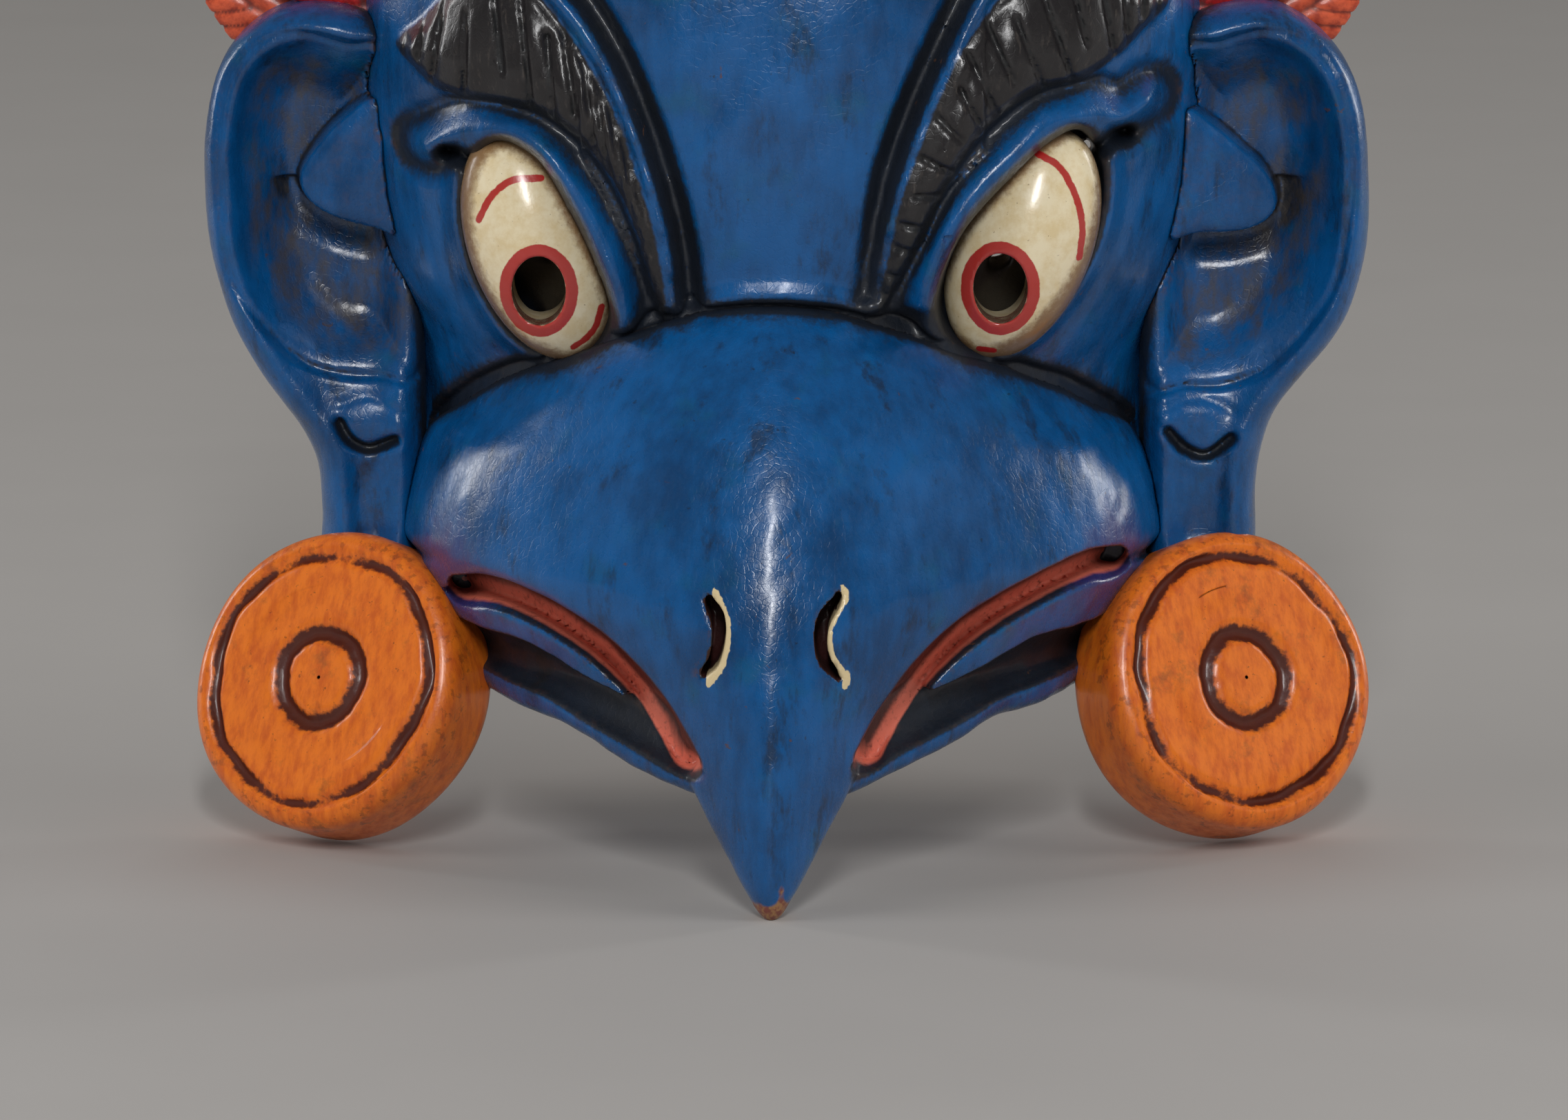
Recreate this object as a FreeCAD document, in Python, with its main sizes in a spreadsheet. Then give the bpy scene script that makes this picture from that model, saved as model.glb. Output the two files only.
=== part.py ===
import FreeCAD, Part
import math
import os

# Carved and painted wooden bird mask: a hollow head, a hooked beak, two ears that carry ear
# spools, two inset eyeballs and a fan of crest plumes, all held by glue and hidden wooden pegs.
# Frame: X to the right as seen from the front, Y to the back, Z up. The beak points along -Y.
# "Forward" is the distance in front of the plane of the back rim.

Vector = FreeCAD.Vector
Rotation = FreeCAD.Rotation
Placement = FreeCAD.Placement

DRIVING = [
    ("back_y", 60.0, "Y of the back rim plane"),
    ("overall_depth", 120.0, "back rim to the front of the beak"),
    ("skull_radius", 91.0, "of the round outline seen from the front"),
    ("skull_half_depth", 72.0, ""),
    ("skull_forward", 4.0, "centre of the skull form, in front of the rim"),
    ("skull_up", 161.0, "height of the centre of the skull form"),
    ("cheek_half_width", 78.0, ""),
    ("cheek_radius", 50.0, "of the lower face, seen from the side"),
    ("cheek_up", 80.0, "height of the centre of the lower face"),
    ("wall", 14.0, "wall thickness of the hollow head"),
    ("nose_room_radius", 30.0, "hollow behind the beak"),
    ("nose_room_half_depth", 52.0, ""),
    ("nose_room_forward", 40.0, ""),
    ("nose_room_up", 74.0, ""),
    ("beak_half_width", 80.0, "widest level of the beak"),
    ("jaw_half_width", 68.0, "lower jaw where it meets the cheeks"),
    ("jaw_half_height", 19.0, ""),
    ("mouth_depth", 9.0, "depth of the carved mouth line"),
    ("mouth_half_gap", 2.6, ""),
    ("nostril_width", 3.2, ""),
    ("nostril_height", 17.0, ""),
    ("nostril_side", 13.5, "nostril slit from the centre line"),
    ("nostril_up", 57.0, ""),
    ("eye_side", 50.0, "eyeball centre from the centre line"),
    ("eye_up", 131.0, ""),
    ("eye_forward", 56.0, ""),
    ("eye_radius", 13.0, "round its long axis"),
    ("eye_half_height", 25.0, ""),
    ("eye_slant", 22.0, "degrees, top of the eye outward"),
    ("eye_clearance", 0.15, "glue gap round the eyeball"),
    ("pupil_radius", 5.9, ""),
    ("pupil_side", 48.0, ""),
    ("pupil_up", 124.0, ""),
    ("brow_half_width", 10.5, ""),
    ("brow_half_rise", 6.5, ""),
    ("lid_width", 4.5, "eyelid ridge round the eyeball"),
    ("ear_back", 9.0, "back of the ear, in front of the rim"),
    ("ear_thickness", 23.0, ""),
    ("ear_dowel_forward", 15.0, "behind the hollow of the ear"),
    ("ear_hollow_radius", 15.0, "round the long axis of the hollow of the ear"),
    ("ear_hollow_half_height", 34.0, ""),
    ("ear_hollow_side", 101.0, ""),
    ("ear_hollow_up", 136.0, ""),
    ("tragus_radius", 6.5, ""),
    ("tragus_half_height", 12.0, ""),
    ("tragus_side", 94.0, ""),
    ("tragus_up", 142.0, ""),
    ("spool_radius", 30.5, ""),
    ("spool_thickness", 20.0, ""),
    ("spool_edge", 3.0, "rounding of the spool's rims"),
    ("spool_outer_groove", 25.0, "radius of the outer groove"),
    ("spool_inner_groove", 9.2, "radius of the inner groove"),
    ("groove_width", 2.2, ""),
    ("groove_depth", 2.0, ""),
    ("spool_side", 93.2, "spool centre"),
    ("spool_forward", 37.0, ""),
    ("spool_up", 31.2, ""),
    ("spool_yaw", 31.0, "degrees the face turns outward"),
    ("spool_pitch", 20.0, "degrees the face turns upward"),
    ("plume_half_width", 14.0, ""),
    ("plume_half_depth", 4.4, ""),
    ("front_plume_length", 52.0, ""),
    ("back_plume_length", 66.0, ""),
    ("front_plume_forward", 16.5, ""),
    ("back_plume_forward", 7.0, ""),
    ("dowel_radius", 3.0, ""),
    ("dowel_length", 20.0, ""),
    ("peg_radius", 2.0, ""),
    ("peg_length", 16.0, ""),
    ("peg_clearance", 0.05, "radial clearance round dowels and pegs"),
    ("tie_hole_radius", 2.0, ""),
    ("tie_hole_forward", 5.0, ""),
    ("tie_hole_tilt", 10.0, "degrees that each tie hole rises outward"),
    ("tie_hole_up", 114.3, "height where the line of a tie hole meets the middle of the mask"),
]

PLUMES_PER_SIDE = 6
REACH = 400.0  # longer than the mask, for cutting blocks
RIGHT = Vector(1, 0, 0)
BACKWARD = Vector(0, 1, 0)
UP = Vector(0, 0, 1)

doc = FreeCAD.newDocument("bird_mask")
sheet = doc.addObject("Spreadsheet::Sheet", "dims")
for row, (alias, value, note) in enumerate(DRIVING, start=1):
    sheet.set(f"A{row}", alias)
    sheet.set(f"B{row}", str(value))
    sheet.set(f"C{row}", note)
    sheet.setAlias(f"B{row}", alias)
doc.recompute()


def dim(alias):
    """Value of one driving dimension."""
    return float(getattr(sheet, alias))


def bind(feature, **expressions):
    """Bind properties of a feature to the sheet; double underscores stand for dots."""
    for name, expression in expressions.items():
        feature.setExpression(name.replace("__", "."), expression)


def place(feature, x, forward, z, rotation=Rotation()):
    """Put a feature at (x, back_y - forward, z); each place is an expression."""
    feature.Placement = Placement(Vector(), rotation)
    bind(
        feature,
        Placement__Base__x=str(x),
        Placement__Base__y=f"dims.back_y - ({forward})",
        Placement__Base__z=str(z),
    )


def block(name, at, width, depth, height):
    """Box from its left front bottom corner."""
    form = doc.addObject("Part::Box", name)
    bind(form, Length=str(width), Width=str(depth), Height=str(height))
    place(form, *at)
    return form


def cylinder(name, at, radius, length, rotation=Rotation()):
    """Cylinder that starts at a point and runs along the turned Z axis."""
    form = doc.addObject("Part::Cylinder", name)
    bind(form, Radius=radius, Height=str(length))
    place(form, *at, rotation)
    return form


def sketch_in(body, name, role="XY_Plane"):
    """Empty sketch on one of a body's own origin planes."""
    plane = next(item for item in body.Origin.OriginFeatures if item.Role == role)
    sketch = body.newObject("Sketcher::SketchObject", name)
    sketch.AttachmentSupport = (plane, "")
    sketch.MapMode = "FlatFace"
    return sketch


# places of the level circles of a spheroid, as shares of its half length
SPHEROID_LEVELS = (-0.98, -0.92, -0.8, -0.6, -0.35, 0.0, 0.35, 0.6, 0.8, 0.92, 0.98)


def spheroid(name, at, radius, half_length, axis, seam):
    """Round form lofted through level circles along an axis, with a small flat at each end.

    The seam is the side where the loft closes. Radius and half length are expressions.
    """
    x, forward, z = at
    sections = []
    for index, level in enumerate(SPHEROID_LEVELS):
        section = doc.addObject("Part::Circle", f"{name}_level_{index + 1}")
        share = math.sqrt(1 - level * level)
        bind(section, Radius=f"({radius}) * {share}")
        reach = f"({half_length}) * {level}"
        centre = (
            f"{x} + {reach} * {axis.x}",
            f"{forward} - {reach} * {axis.y}",
            f"{z} + {reach} * {axis.z}",
        )
        place(section, *centre, Rotation(seam, axis.cross(seam), axis, "ZXY"))
        sections.append(section)
    loft = doc.addObject("Part::Loft", name)
    loft.Sections = sections
    loft.Solid = True
    return loft


def join(name, *shapes):
    fused = doc.addObject("Part::MultiFuse", name)
    fused.Shapes = list(shapes)
    return fused


def cut(name, base, tool):
    result = doc.addObject("Part::Cut", name)
    result.Base = base
    result.Tool = tool
    return result


def common(name, base, tool):
    result = doc.addObject("Part::Common", name)
    result.Base = base
    result.Tool = tool
    return result


def group(name, members):
    compound = doc.addObject("Part::Compound", name)
    compound.Links = members
    return compound


def mirrored(feature):
    """The same feature on the other side of the mask."""
    mirror = doc.addObject("Part::Mirroring", f"{feature.Name}_mirrored")
    mirror.Source = feature
    mirror.Normal = RIGHT
    return mirror


def ribbon(name, wide, thick, stations, across=None):
    """Loft through ellipses along a path.

    A station is (x, forward, z, share of wide, share of thick). Across is the direction of the
    long axis of each ellipse; with none given it lies across the path as seen from the front.
    """
    points = [Vector(x, dim("back_y") - forward, z) for x, forward, z, *_ in stations]
    sections = []
    for index, (_, _, _, wide_share, thick_share) in enumerate(stations):
        before = points[max(index - 1, 0)]
        after = points[min(index + 1, len(points) - 1)]
        along = (after - before).normalize()
        broad = along.cross(-BACKWARD) if across is None else Vector(*across)
        broad = (broad - along * broad.dot(along)).normalize()
        section = doc.addObject("Part::Ellipse", f"{name}_section_{index + 1}")
        section.Placement = Placement(points[index], Rotation(broad, along.cross(broad), along, "ZXY"))
        bind(section, MajorRadius=f"{wide} * {wide_share}", MinorRadius=f"{thick} * {thick_share}")
        sections.append(section)
    loft = doc.addObject("Part::Loft", name)
    loft.Sections = sections
    loft.Solid = True
    return loft


def peg(name, at, radius, length, direction):
    """Wooden peg, centred on a point along a direction, and the slightly larger hole it sits in."""
    turn = Rotation(UP, Vector(*direction))
    half = Vector(*direction).normalize() * (length / 2)
    x, forward, z = at
    start = (x - half.x, forward + half.y, z - half.z)
    pin = cylinder(name, start, radius, length, turn)
    hole = cylinder(f"{name}_hole", start, f"{radius} + dims.peg_clearance", length, turn)
    return pin, hole


def dowel(name, at, direction):
    return peg(name, at, "dims.dowel_radius", dim("dowel_length"), direction)


subparts = []


def subpart(feature, label):
    feature.Label = label
    subparts.append(feature)
    return feature


def pair(feature, label):
    """Sub-part made for the right side, with its twin on the left."""
    subpart(feature, label.format("right"))
    subpart(mirrored(feature), label.format("left"))


# ---- forms that several pieces are cut from or fitted to -------------------------------------

skull_at = (0, "dims.skull_forward", "dims.skull_up")
cheek_at = (0, 0, "dims.cheek_up")
skull = spheroid("skull", skull_at, "dims.skull_radius", "dims.skull_half_depth", BACKWARD, -UP)
cheeks = spheroid("cheeks", cheek_at, "dims.cheek_radius", "dims.cheek_half_width", RIGHT, BACKWARD)
head_form = join("head_form", skull, cheeks)

skull_hollow = spheroid(
    "skull_hollow",
    skull_at,
    "dims.skull_radius - dims.wall",
    "dims.skull_half_depth - dims.wall",
    BACKWARD,
    -UP,
)
cheek_hollow = spheroid(
    "cheek_hollow",
    cheek_at,
    "dims.cheek_radius - dims.wall",
    "dims.cheek_half_width - dims.wall",
    RIGHT,
    BACKWARD,
)
nose_room = spheroid(
    "nose_room",
    (0, "dims.nose_room_forward", "dims.nose_room_up"),
    "dims.nose_room_radius",
    "dims.nose_room_half_depth",
    BACKWARD,
    UP,
)

# level ellipses of the hooked upper beak, from the bridge down to the tip:
# height, forward place of the centre, half width as a share of the widest, half depth
BEAK_LEVELS = [
    (118, 50, 0.25, 25),
    (110, 38, 0.525, 48),
    (96, 30, 0.825, 68),
    (80, 26, 1.0, 81),
    (64, 34, 0.96, 79.5),
    (52, 52, 0.70, 64.5),
    (42, 80, 0.375, 38.3),
    (30, 98, 0.24, 21.3),
    (20, 104, 0.18, 15.8),
    (10, 110, 0.116, 10),
    (0, 117, 0.03, 3),
]

# stations of the lower jaw behind the beak, from the cheeks forward
JAW_STATIONS = [
    (0, 18, 51, 1.0, 1.0),
    (0, 45, 47, 0.84, 0.84),
    (0, 70, 41, 0.59, 0.68),
    (0, 94, 33, 0.26, 0.5),
]
BEAK_BACK = 16  # forward place of the back of the beak block


def make_beak_block():
    """Upper beak and lower jaw in one block of wood."""
    sections = []
    for index, (height, forward, width_share, half_depth) in enumerate(BEAK_LEVELS):
        section = doc.addObject("Part::Ellipse", f"beak_level_{index + 1}")
        bind(section, MajorRadius=str(half_depth), MinorRadius=f"dims.beak_half_width * {width_share}")
        place(section, 0, forward, height, Rotation(UP, -90))
        sections.append(section)
    upper = doc.addObject("Part::Loft", "upper_beak")
    upper.Sections = sections
    upper.Solid = True
    jaw = ribbon("lower_jaw", "dims.jaw_half_width", "dims.jaw_half_height", JAW_STATIONS, across=RIGHT)
    front = (-REACH / 2, "dims.overall_depth", 0)
    space = block("beak_space", front, REACH, f"dims.overall_depth - {BEAK_BACK}", REACH)
    return common("beak_block", join("beak_lofts", upper, jaw), space)


beak_block = make_beak_block()

# ---- brows, eyelids and the holes on the right side of the head ------------------------------

BROW_STATIONS = [
    (80, 40, 173, 0.62, 0.30),
    (68, 55, 173, 0.85, 0.75),
    (53, 65, 172, 1.0, 1.0),
    (41, 70, 160, 0.85, 1.0),
    (32, 71, 143, 0.75, 0.85),
    (26, 70, 121, 0.35, 0.3),
]
brow = ribbon("brow", "dims.brow_half_width", "dims.brow_half_rise", BROW_STATIONS)

slant = math.radians(dim("eye_slant"))
eye_axis = Vector(math.sin(slant), 0, math.cos(slant))
eye_at = ("dims.eye_side", "dims.eye_forward", "dims.eye_up")


def eye_form(name, margin, at=eye_at):
    """Eyeball with a margin all round."""
    radius = f"dims.eye_radius + {margin}"
    return spheroid(name, at, radius, f"dims.eye_half_height + {margin}", eye_axis, BACKWARD)


lid_at = ("dims.eye_side", "dims.eye_forward - 3", "dims.eye_up")
eyelids = eye_form("eyelids", "dims.lid_width", lid_at)
sight_hole = cylinder(
    "sight_hole",
    ("dims.pupil_side", "dims.overall_depth", "dims.pupil_up"),
    "dims.pupil_radius",
    dim("overall_depth"),
    Rotation(UP, BACKWARD),
)
tie_hole = cylinder(
    "tie_hole",
    (0, "dims.tie_hole_forward", "dims.tie_hole_up"),
    "dims.tie_hole_radius",
    REACH / 2,
    Rotation(BACKWARD, 90 - dim("tie_hole_tilt")),
)
pair(cut("eye_part", eye_form("eyeball", 0), sight_hole), "{}_eye")

# ---- ear: a thick outline with a hollow, a tragus, and a lobe that ends on the spool ---------


def ear_outline():
    """Ear plate, drawn from the front and padded towards the back."""
    body = doc.addObject("PartDesign::Body", "ear_plate")
    sketch = sketch_in(body, "ear_profile", "XZ_Plane")
    corners = {
        "lobe_inner": Vector(76, 56, 0),
        "lobe_outer": Vector(96, 56, 0),
        "lobe_top": Vector(107, 93, 0),
        "rim_widest": Vector(123, 132, 0),
        "rim_top": Vector(106, 175, 0),
        "rim_inner": Vector(84, 172, 0),
    }
    arcs = [
        ("lobe_outer", Vector(99, 75, 0), "lobe_top"),
        ("lobe_top", Vector(117, 108, 0), "rim_widest"),
        ("rim_widest", Vector(119, 160, 0), "rim_top"),
        ("rim_top", Vector(95, 177.5, 0), "rim_inner"),
    ]
    for start, through, end in arcs:
        sketch.addGeometry(Part.Arc(corners[start], through, corners[end]), False)
    for start, end in (("rim_inner", "lobe_inner"), ("lobe_inner", "lobe_outer")):
        sketch.addGeometry(Part.LineSegment(corners[start], corners[end]), False)
    pad = body.newObject("PartDesign::Pad", "ear_pad")
    pad.Profile = sketch
    bind(pad, Length="dims.ear_thickness")
    place(body, 0, "dims.ear_back", 0)
    return body


def spool_turn():
    """Rotation that takes +Z to the outward normal of the right spool's face."""
    upright = Rotation(RIGHT, 90 - dim("spool_pitch"))
    return Rotation(UP, dim("spool_yaw")) * upright


def spool_envelope():
    """Plain cylinder of the spool's size, for cutting its seat in the ear lobe."""
    half = spool_turn().multVec(UP * (-dim("spool_thickness") / 2))
    at = (
        f"dims.spool_side + {half.x}",
        f"dims.spool_forward - ({half.y})",
        f"dims.spool_up + {half.z}",
    )
    return cylinder("spool_envelope", at, "dims.spool_radius", dim("spool_thickness"), spool_turn())


ear_front = "dims.ear_back + dims.ear_thickness"
ear_hollow = spheroid(
    "ear_hollow",
    ("dims.ear_hollow_side", ear_front, "dims.ear_hollow_up"),
    "dims.ear_hollow_radius",
    "dims.ear_hollow_half_height",
    UP,
    BACKWARD,
)
tragus = spheroid(
    "tragus",
    ("dims.tragus_side", f"{ear_front} - 6", "dims.tragus_up"),
    "dims.tragus_radius",
    "dims.tragus_half_height",
    UP,
    BACKWARD,
)
upper_dowel, upper_hole = dowel("ear_dowel_1", (86, dim("ear_dowel_forward"), 158), (1, 0, 0))
lower_dowel, lower_hole = dowel("ear_dowel_2", (84, dim("ear_dowel_forward"), 118), (1, 0, 0))
spool_pin, spool_hole = dowel("spool_pin", (88, 27, 60), (0.06, 0.3, 1))
ear_blank = join("ear_blank", cut("ear_dish", ear_outline(), ear_hollow), tragus)
ear_tools = join(
    "ear_tools", head_form, beak_block, spool_envelope(), spool_hole, upper_hole, lower_hole
)
pair(cut("ear_part", ear_blank, ear_tools), "{}_ear")
pair(group("ear_dowel_group", [upper_dowel, lower_dowel]), "{}_ear_dowels")
pair(spool_pin, "{}_spool_dowel")

# ---- ear spool: a turned disc with rounded rims and two grooves round its face ---------------


def spool_body():
    radius = dim("spool_radius")
    half = dim("spool_thickness") / 2
    edge = dim("spool_edge")
    body = doc.addObject("PartDesign::Body", "spool_blank")
    profile = sketch_in(body, "spool_profile", "XZ_Plane")
    bulge = edge * (1 - 0.5**0.5)  # from the corner of the square to the middle of its rounding
    for level, inward in ((-half, 1), (half, -1)):
        middle = Vector(radius - bulge, level + inward * bulge, 0)
        on_face = Vector(radius - edge, level, 0)
        on_side = Vector(radius, level + inward * edge, 0)
        profile.addGeometry(Part.LineSegment(Vector(0, level, 0), on_face), False)
        profile.addGeometry(Part.Arc(on_face, middle, on_side), False)
    side_ends = (Vector(radius, edge - half, 0), Vector(radius, half - edge, 0))
    profile.addGeometry(Part.LineSegment(*side_ends), False)
    profile.addGeometry(Part.LineSegment(Vector(0, half, 0), Vector(0, -half, 0)), False)
    disc = body.newObject("PartDesign::Revolution", "spool_disc")
    disc.Profile = profile
    disc.ReferenceAxis = (profile, ["V_Axis"])
    disc.Angle = 360
    for groove_name in ("spool_outer_groove", "spool_inner_groove"):
        ring = sketch_in(body, f"{groove_name}_profile", "XZ_Plane")
        middle = dim(groove_name)
        corners = [
            Vector(middle - dim("groove_width") / 2, half + 1, 0),
            Vector(middle + dim("groove_width") / 2, half + 1, 0),
            Vector(middle, half - dim("groove_depth"), 0),
        ]
        for start, end in zip(corners, corners[1:] + corners[:1]):
            ring.addGeometry(Part.LineSegment(start, end), False)
        groove = body.newObject("PartDesign::Groove", f"{groove_name}_cut")
        groove.Profile = ring
        groove.ReferenceAxis = (ring, ["V_Axis"])
        groove.Angle = 360
    place(body, "dims.spool_side", "dims.spool_forward", "dims.spool_up", spool_turn())
    return body


spool_tools = join("spool_tools", head_form, beak_block, spool_hole)
pair(cut("spool_part", spool_body(), spool_tools), "{}_ear_spool")

# ---- crest plumes ----------------------------------------------------------------------------

# root (x, z) and sideways lean of each plume on the right, from the top one down to the ear
PLUME_ROOTS = [
    (0, 251, 0.0),
    (26, 247, 0.22),
    (49, 236, 0.44),
    (67, 220, 0.62),
    (80, 200, 0.78),
    (87, 179, 0.86),
    (88, 158, 1.0),
]
# along the plume: share of its length, of its width and of its depth, and how far it bends out
PLUME_SHAPE = [
    (-0.10, 0.70, 0.85, 0.0),
    (0.25, 0.95, 1.0, 0.01),
    (0.55, 0.85, 0.80, 0.05),
    (0.85, 0.42, 0.48, 0.13),
    (1.0, 0.10, 0.14, 0.19),
]
SHORTENING = 0.055  # each plume is this much shorter than the one above it


def plume(index):
    """Flame-shaped plume that curves outward from its root to a pointed tip, with its peg.

    Odd plumes stand in the front row and even ones, which are longer, show between them.
    """
    x, z, lean = PLUME_ROOTS[index]
    direction = Vector(lean, 0, 1).normalize()
    outward = Vector(direction.z, 0, -direction.x) * min(index, 1)
    row_name = "front" if index % 2 else "back"
    length = dim(f"{row_name}_plume_length") * (1 - SHORTENING * index)
    forward = dim(f"{row_name}_plume_forward")
    stations = []
    for share, width, depth, bend in PLUME_SHAPE:
        spot = Vector(x, 0, z) + direction * (length * share) + outward * (length * bend)
        stations.append((spot.x, forward, spot.z, width, depth))
    name = f"plume_{index}"
    blank = ribbon(f"{name}_blank", "dims.plume_half_width", "dims.plume_half_depth", stations)
    pin, hole = peg(
        f"{name}_peg", (x, forward, z), "dims.peg_radius", dim("peg_length"), (lean, 0, 1)
    )
    return cut(f"{name}_part", blank, join(f"{name}_tools", skull, hole)), pin, hole


top_plume, top_pin, top_hole = plume(0)
subpart(top_plume, "crest_plume_top")
side_pins = []
side_holes = []
for index in range(1, PLUMES_PER_SIDE + 1):
    feather, pin, hole = plume(index)
    pair(feather, f"crest_plume_{{}}_{PLUMES_PER_SIDE + 1 - index}")
    side_pins.append(pin)
    side_holes.append(hole)
all_pins = [top_pin, *side_pins, *(mirrored(pin) for pin in side_pins)]
subpart(group("crest_peg_group", all_pins), "crest_pegs")

# ---- face shell and beak ---------------------------------------------------------------------

beak_pin, beak_hole = dowel("beak_dowel", (48, 52, 84), (0, -1, 0))
subpart(group("beak_dowel_group", [beak_pin, mirrored(beak_pin)]), "beak_dowels")

MOUTH_STATIONS = [
    (73, 49, 57, 0.55, 0.45),
    (60, 66, 58.5, 1.0, 1.0),
    (46, 82, 55.5, 1.0, 1.0),
    (33, 93, 48, 1.0, 0.9),
    (23, 99, 37, 0.8, 0.7),
    (17, 102, 27, 0.4, 0.4),
]
mouth_line = ribbon(
    "mouth_line", "dims.mouth_depth", "dims.mouth_half_gap", MOUTH_STATIONS, across=(-0.6, 0.8, 0)
)
nostril = block(
    "nostril",
    (
        "dims.nostril_side - dims.nostril_width / 2",
        "dims.overall_depth",
        "dims.nostril_up - dims.nostril_height / 2",
    ),
    "dims.nostril_width",
    "dims.overall_depth - dims.nose_room_forward - dims.nose_room_radius",
    "dims.nostril_height",
)

front_space = block(
    "front_space", (-REACH / 2, "dims.overall_depth", 0), REACH, "dims.overall_depth", REACH
)
reliefs = [brow, eyelids]
shell_blank = join("shell_blank", head_form, *reliefs, *(mirrored(relief) for relief in reliefs))
eye_room = eye_form("eye_room", "dims.eye_clearance")
side_cuts = [eye_room, sight_hole, tie_hole, upper_hole, lower_hole, beak_hole]
side_cuts += side_holes
shell_tools = join(
    "shell_tools",
    skull_hollow,
    cheek_hollow,
    nose_room,
    top_hole,
    *side_cuts,
    *(mirrored(tool) for tool in side_cuts),
)
shell_solid = common("shell_solid", shell_blank, front_space)
subpart(cut("face_shell_part", shell_solid, shell_tools), "face_shell")

beak_cuts = [mouth_line, nostril, beak_hole]
beak_tools = join(
    "beak_tools", head_form, nose_room, *beak_cuts, *(mirrored(tool) for tool in beak_cuts)
)
subpart(cut("beak_part", beak_block, beak_tools), "beak")

doc.recompute()


def check_and_write():
    """Stop at any failed feature or bad solid, then write one file per sub-part."""
    faults = [item.Name for item in doc.Objects if {"Invalid", "Error"} & set(item.State)]
    if faults:
        raise RuntimeError(f"features that failed: {faults}")
    for feature in subparts:
        shape = feature.Shape
        if shape.isNull() or not shape.isValid() or not shape.Solids:
            raise RuntimeError(f"{feature.Label} has no valid solid")
    os.makedirs("parts", exist_ok=True)
    for feature in subparts:
        feature.Shape.exportStep(f"parts/{feature.Label}.step")
        box = feature.Shape.optimalBoundingBox()
        print(
            f"{feature.Label:24s} solids {len(feature.Shape.Solids)}  volume {feature.Shape.Volume:9.0f}"
            f"  x {box.XMin:.1f}..{box.XMax:.1f}  y {box.YMin:.1f}..{box.YMax:.1f}"
            f"  z {box.ZMin:.1f}..{box.ZMax:.1f}"
        )


check_and_write()
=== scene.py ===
"""Carved and painted wooden bird mask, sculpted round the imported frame.

The carved pieces are distance fields in millimetres: x to the right, v forward from the plane of the
back rim and z up. Each field is turned into a mesh, and the paint follows distances measured on it.
"""
import bpy
import math
import numpy as np
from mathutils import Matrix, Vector


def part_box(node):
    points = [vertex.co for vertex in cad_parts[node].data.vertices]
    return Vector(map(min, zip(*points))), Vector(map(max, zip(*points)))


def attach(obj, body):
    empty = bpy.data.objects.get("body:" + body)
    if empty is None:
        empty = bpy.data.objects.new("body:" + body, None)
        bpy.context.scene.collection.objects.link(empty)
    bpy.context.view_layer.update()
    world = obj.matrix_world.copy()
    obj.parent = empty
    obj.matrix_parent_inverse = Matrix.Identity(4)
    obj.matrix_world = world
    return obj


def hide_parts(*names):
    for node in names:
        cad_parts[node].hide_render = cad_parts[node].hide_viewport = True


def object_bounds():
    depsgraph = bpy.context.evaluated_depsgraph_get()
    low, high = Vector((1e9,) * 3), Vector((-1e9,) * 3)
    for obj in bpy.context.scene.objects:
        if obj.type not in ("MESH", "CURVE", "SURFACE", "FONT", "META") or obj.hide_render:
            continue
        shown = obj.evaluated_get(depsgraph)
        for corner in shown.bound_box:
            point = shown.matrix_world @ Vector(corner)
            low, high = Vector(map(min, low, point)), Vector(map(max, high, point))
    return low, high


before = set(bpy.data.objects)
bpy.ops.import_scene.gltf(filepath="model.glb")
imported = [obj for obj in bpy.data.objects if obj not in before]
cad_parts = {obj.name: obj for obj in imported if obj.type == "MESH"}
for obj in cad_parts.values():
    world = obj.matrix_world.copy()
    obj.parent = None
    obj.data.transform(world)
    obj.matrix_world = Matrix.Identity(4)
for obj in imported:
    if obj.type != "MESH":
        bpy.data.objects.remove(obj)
cad_low, cad_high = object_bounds()

MM = 0.001
BACK = cad_high.y / MM  # y of the back rim
FAR = 60.0  # a field value that means nowhere near
FINE = 1.0  # how much coarser than their given step the meshes are made
SIGNS = (-1, 1)  # of x on the mask's left and right in the picture


def node_box(name):
    """Lowest and highest corner of a CAD node as (x, v, z) in millimetres."""
    low, high = np.array([list(corner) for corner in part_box(name)]) / MM
    low[1], high[1] = BACK - high[1], BACK - low[1]
    return low, high


# ---------------------------------------------------------------- curves and fields


def profile(*pairs):
    """Smooth function through (place, value) pairs that doesn't overshoot them."""
    at, value = np.array(pairs, float).T
    rise = np.diff(value) / np.diff(at)
    slope = np.concatenate([[rise[0]], np.zeros(len(at) - 2), [rise[-1]]])
    same = rise[:-1] * rise[1:] > 0
    both = np.where(same, rise[:-1] + rise[1:], 1)
    slope[1:-1] = np.where(same, 2 * rise[:-1] * rise[1:] / both, 0)

    def follow(place):
        spot = np.clip(place, at[0], at[-1])
        i = np.clip(np.searchsorted(at, spot) - 1, 0, len(at) - 2)
        wide = at[i + 1] - at[i]
        t = (spot - at[i]) / wide
        start = (1 + 2 * t) * (1 - t) ** 2 * value[i] + t * (1 - t) ** 2 * wide * slope[i]
        end = t * t * (3 - 2 * t) * value[i + 1] + t * t * (t - 1) * wide * slope[i + 1]
        return start + end

    return follow


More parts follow.
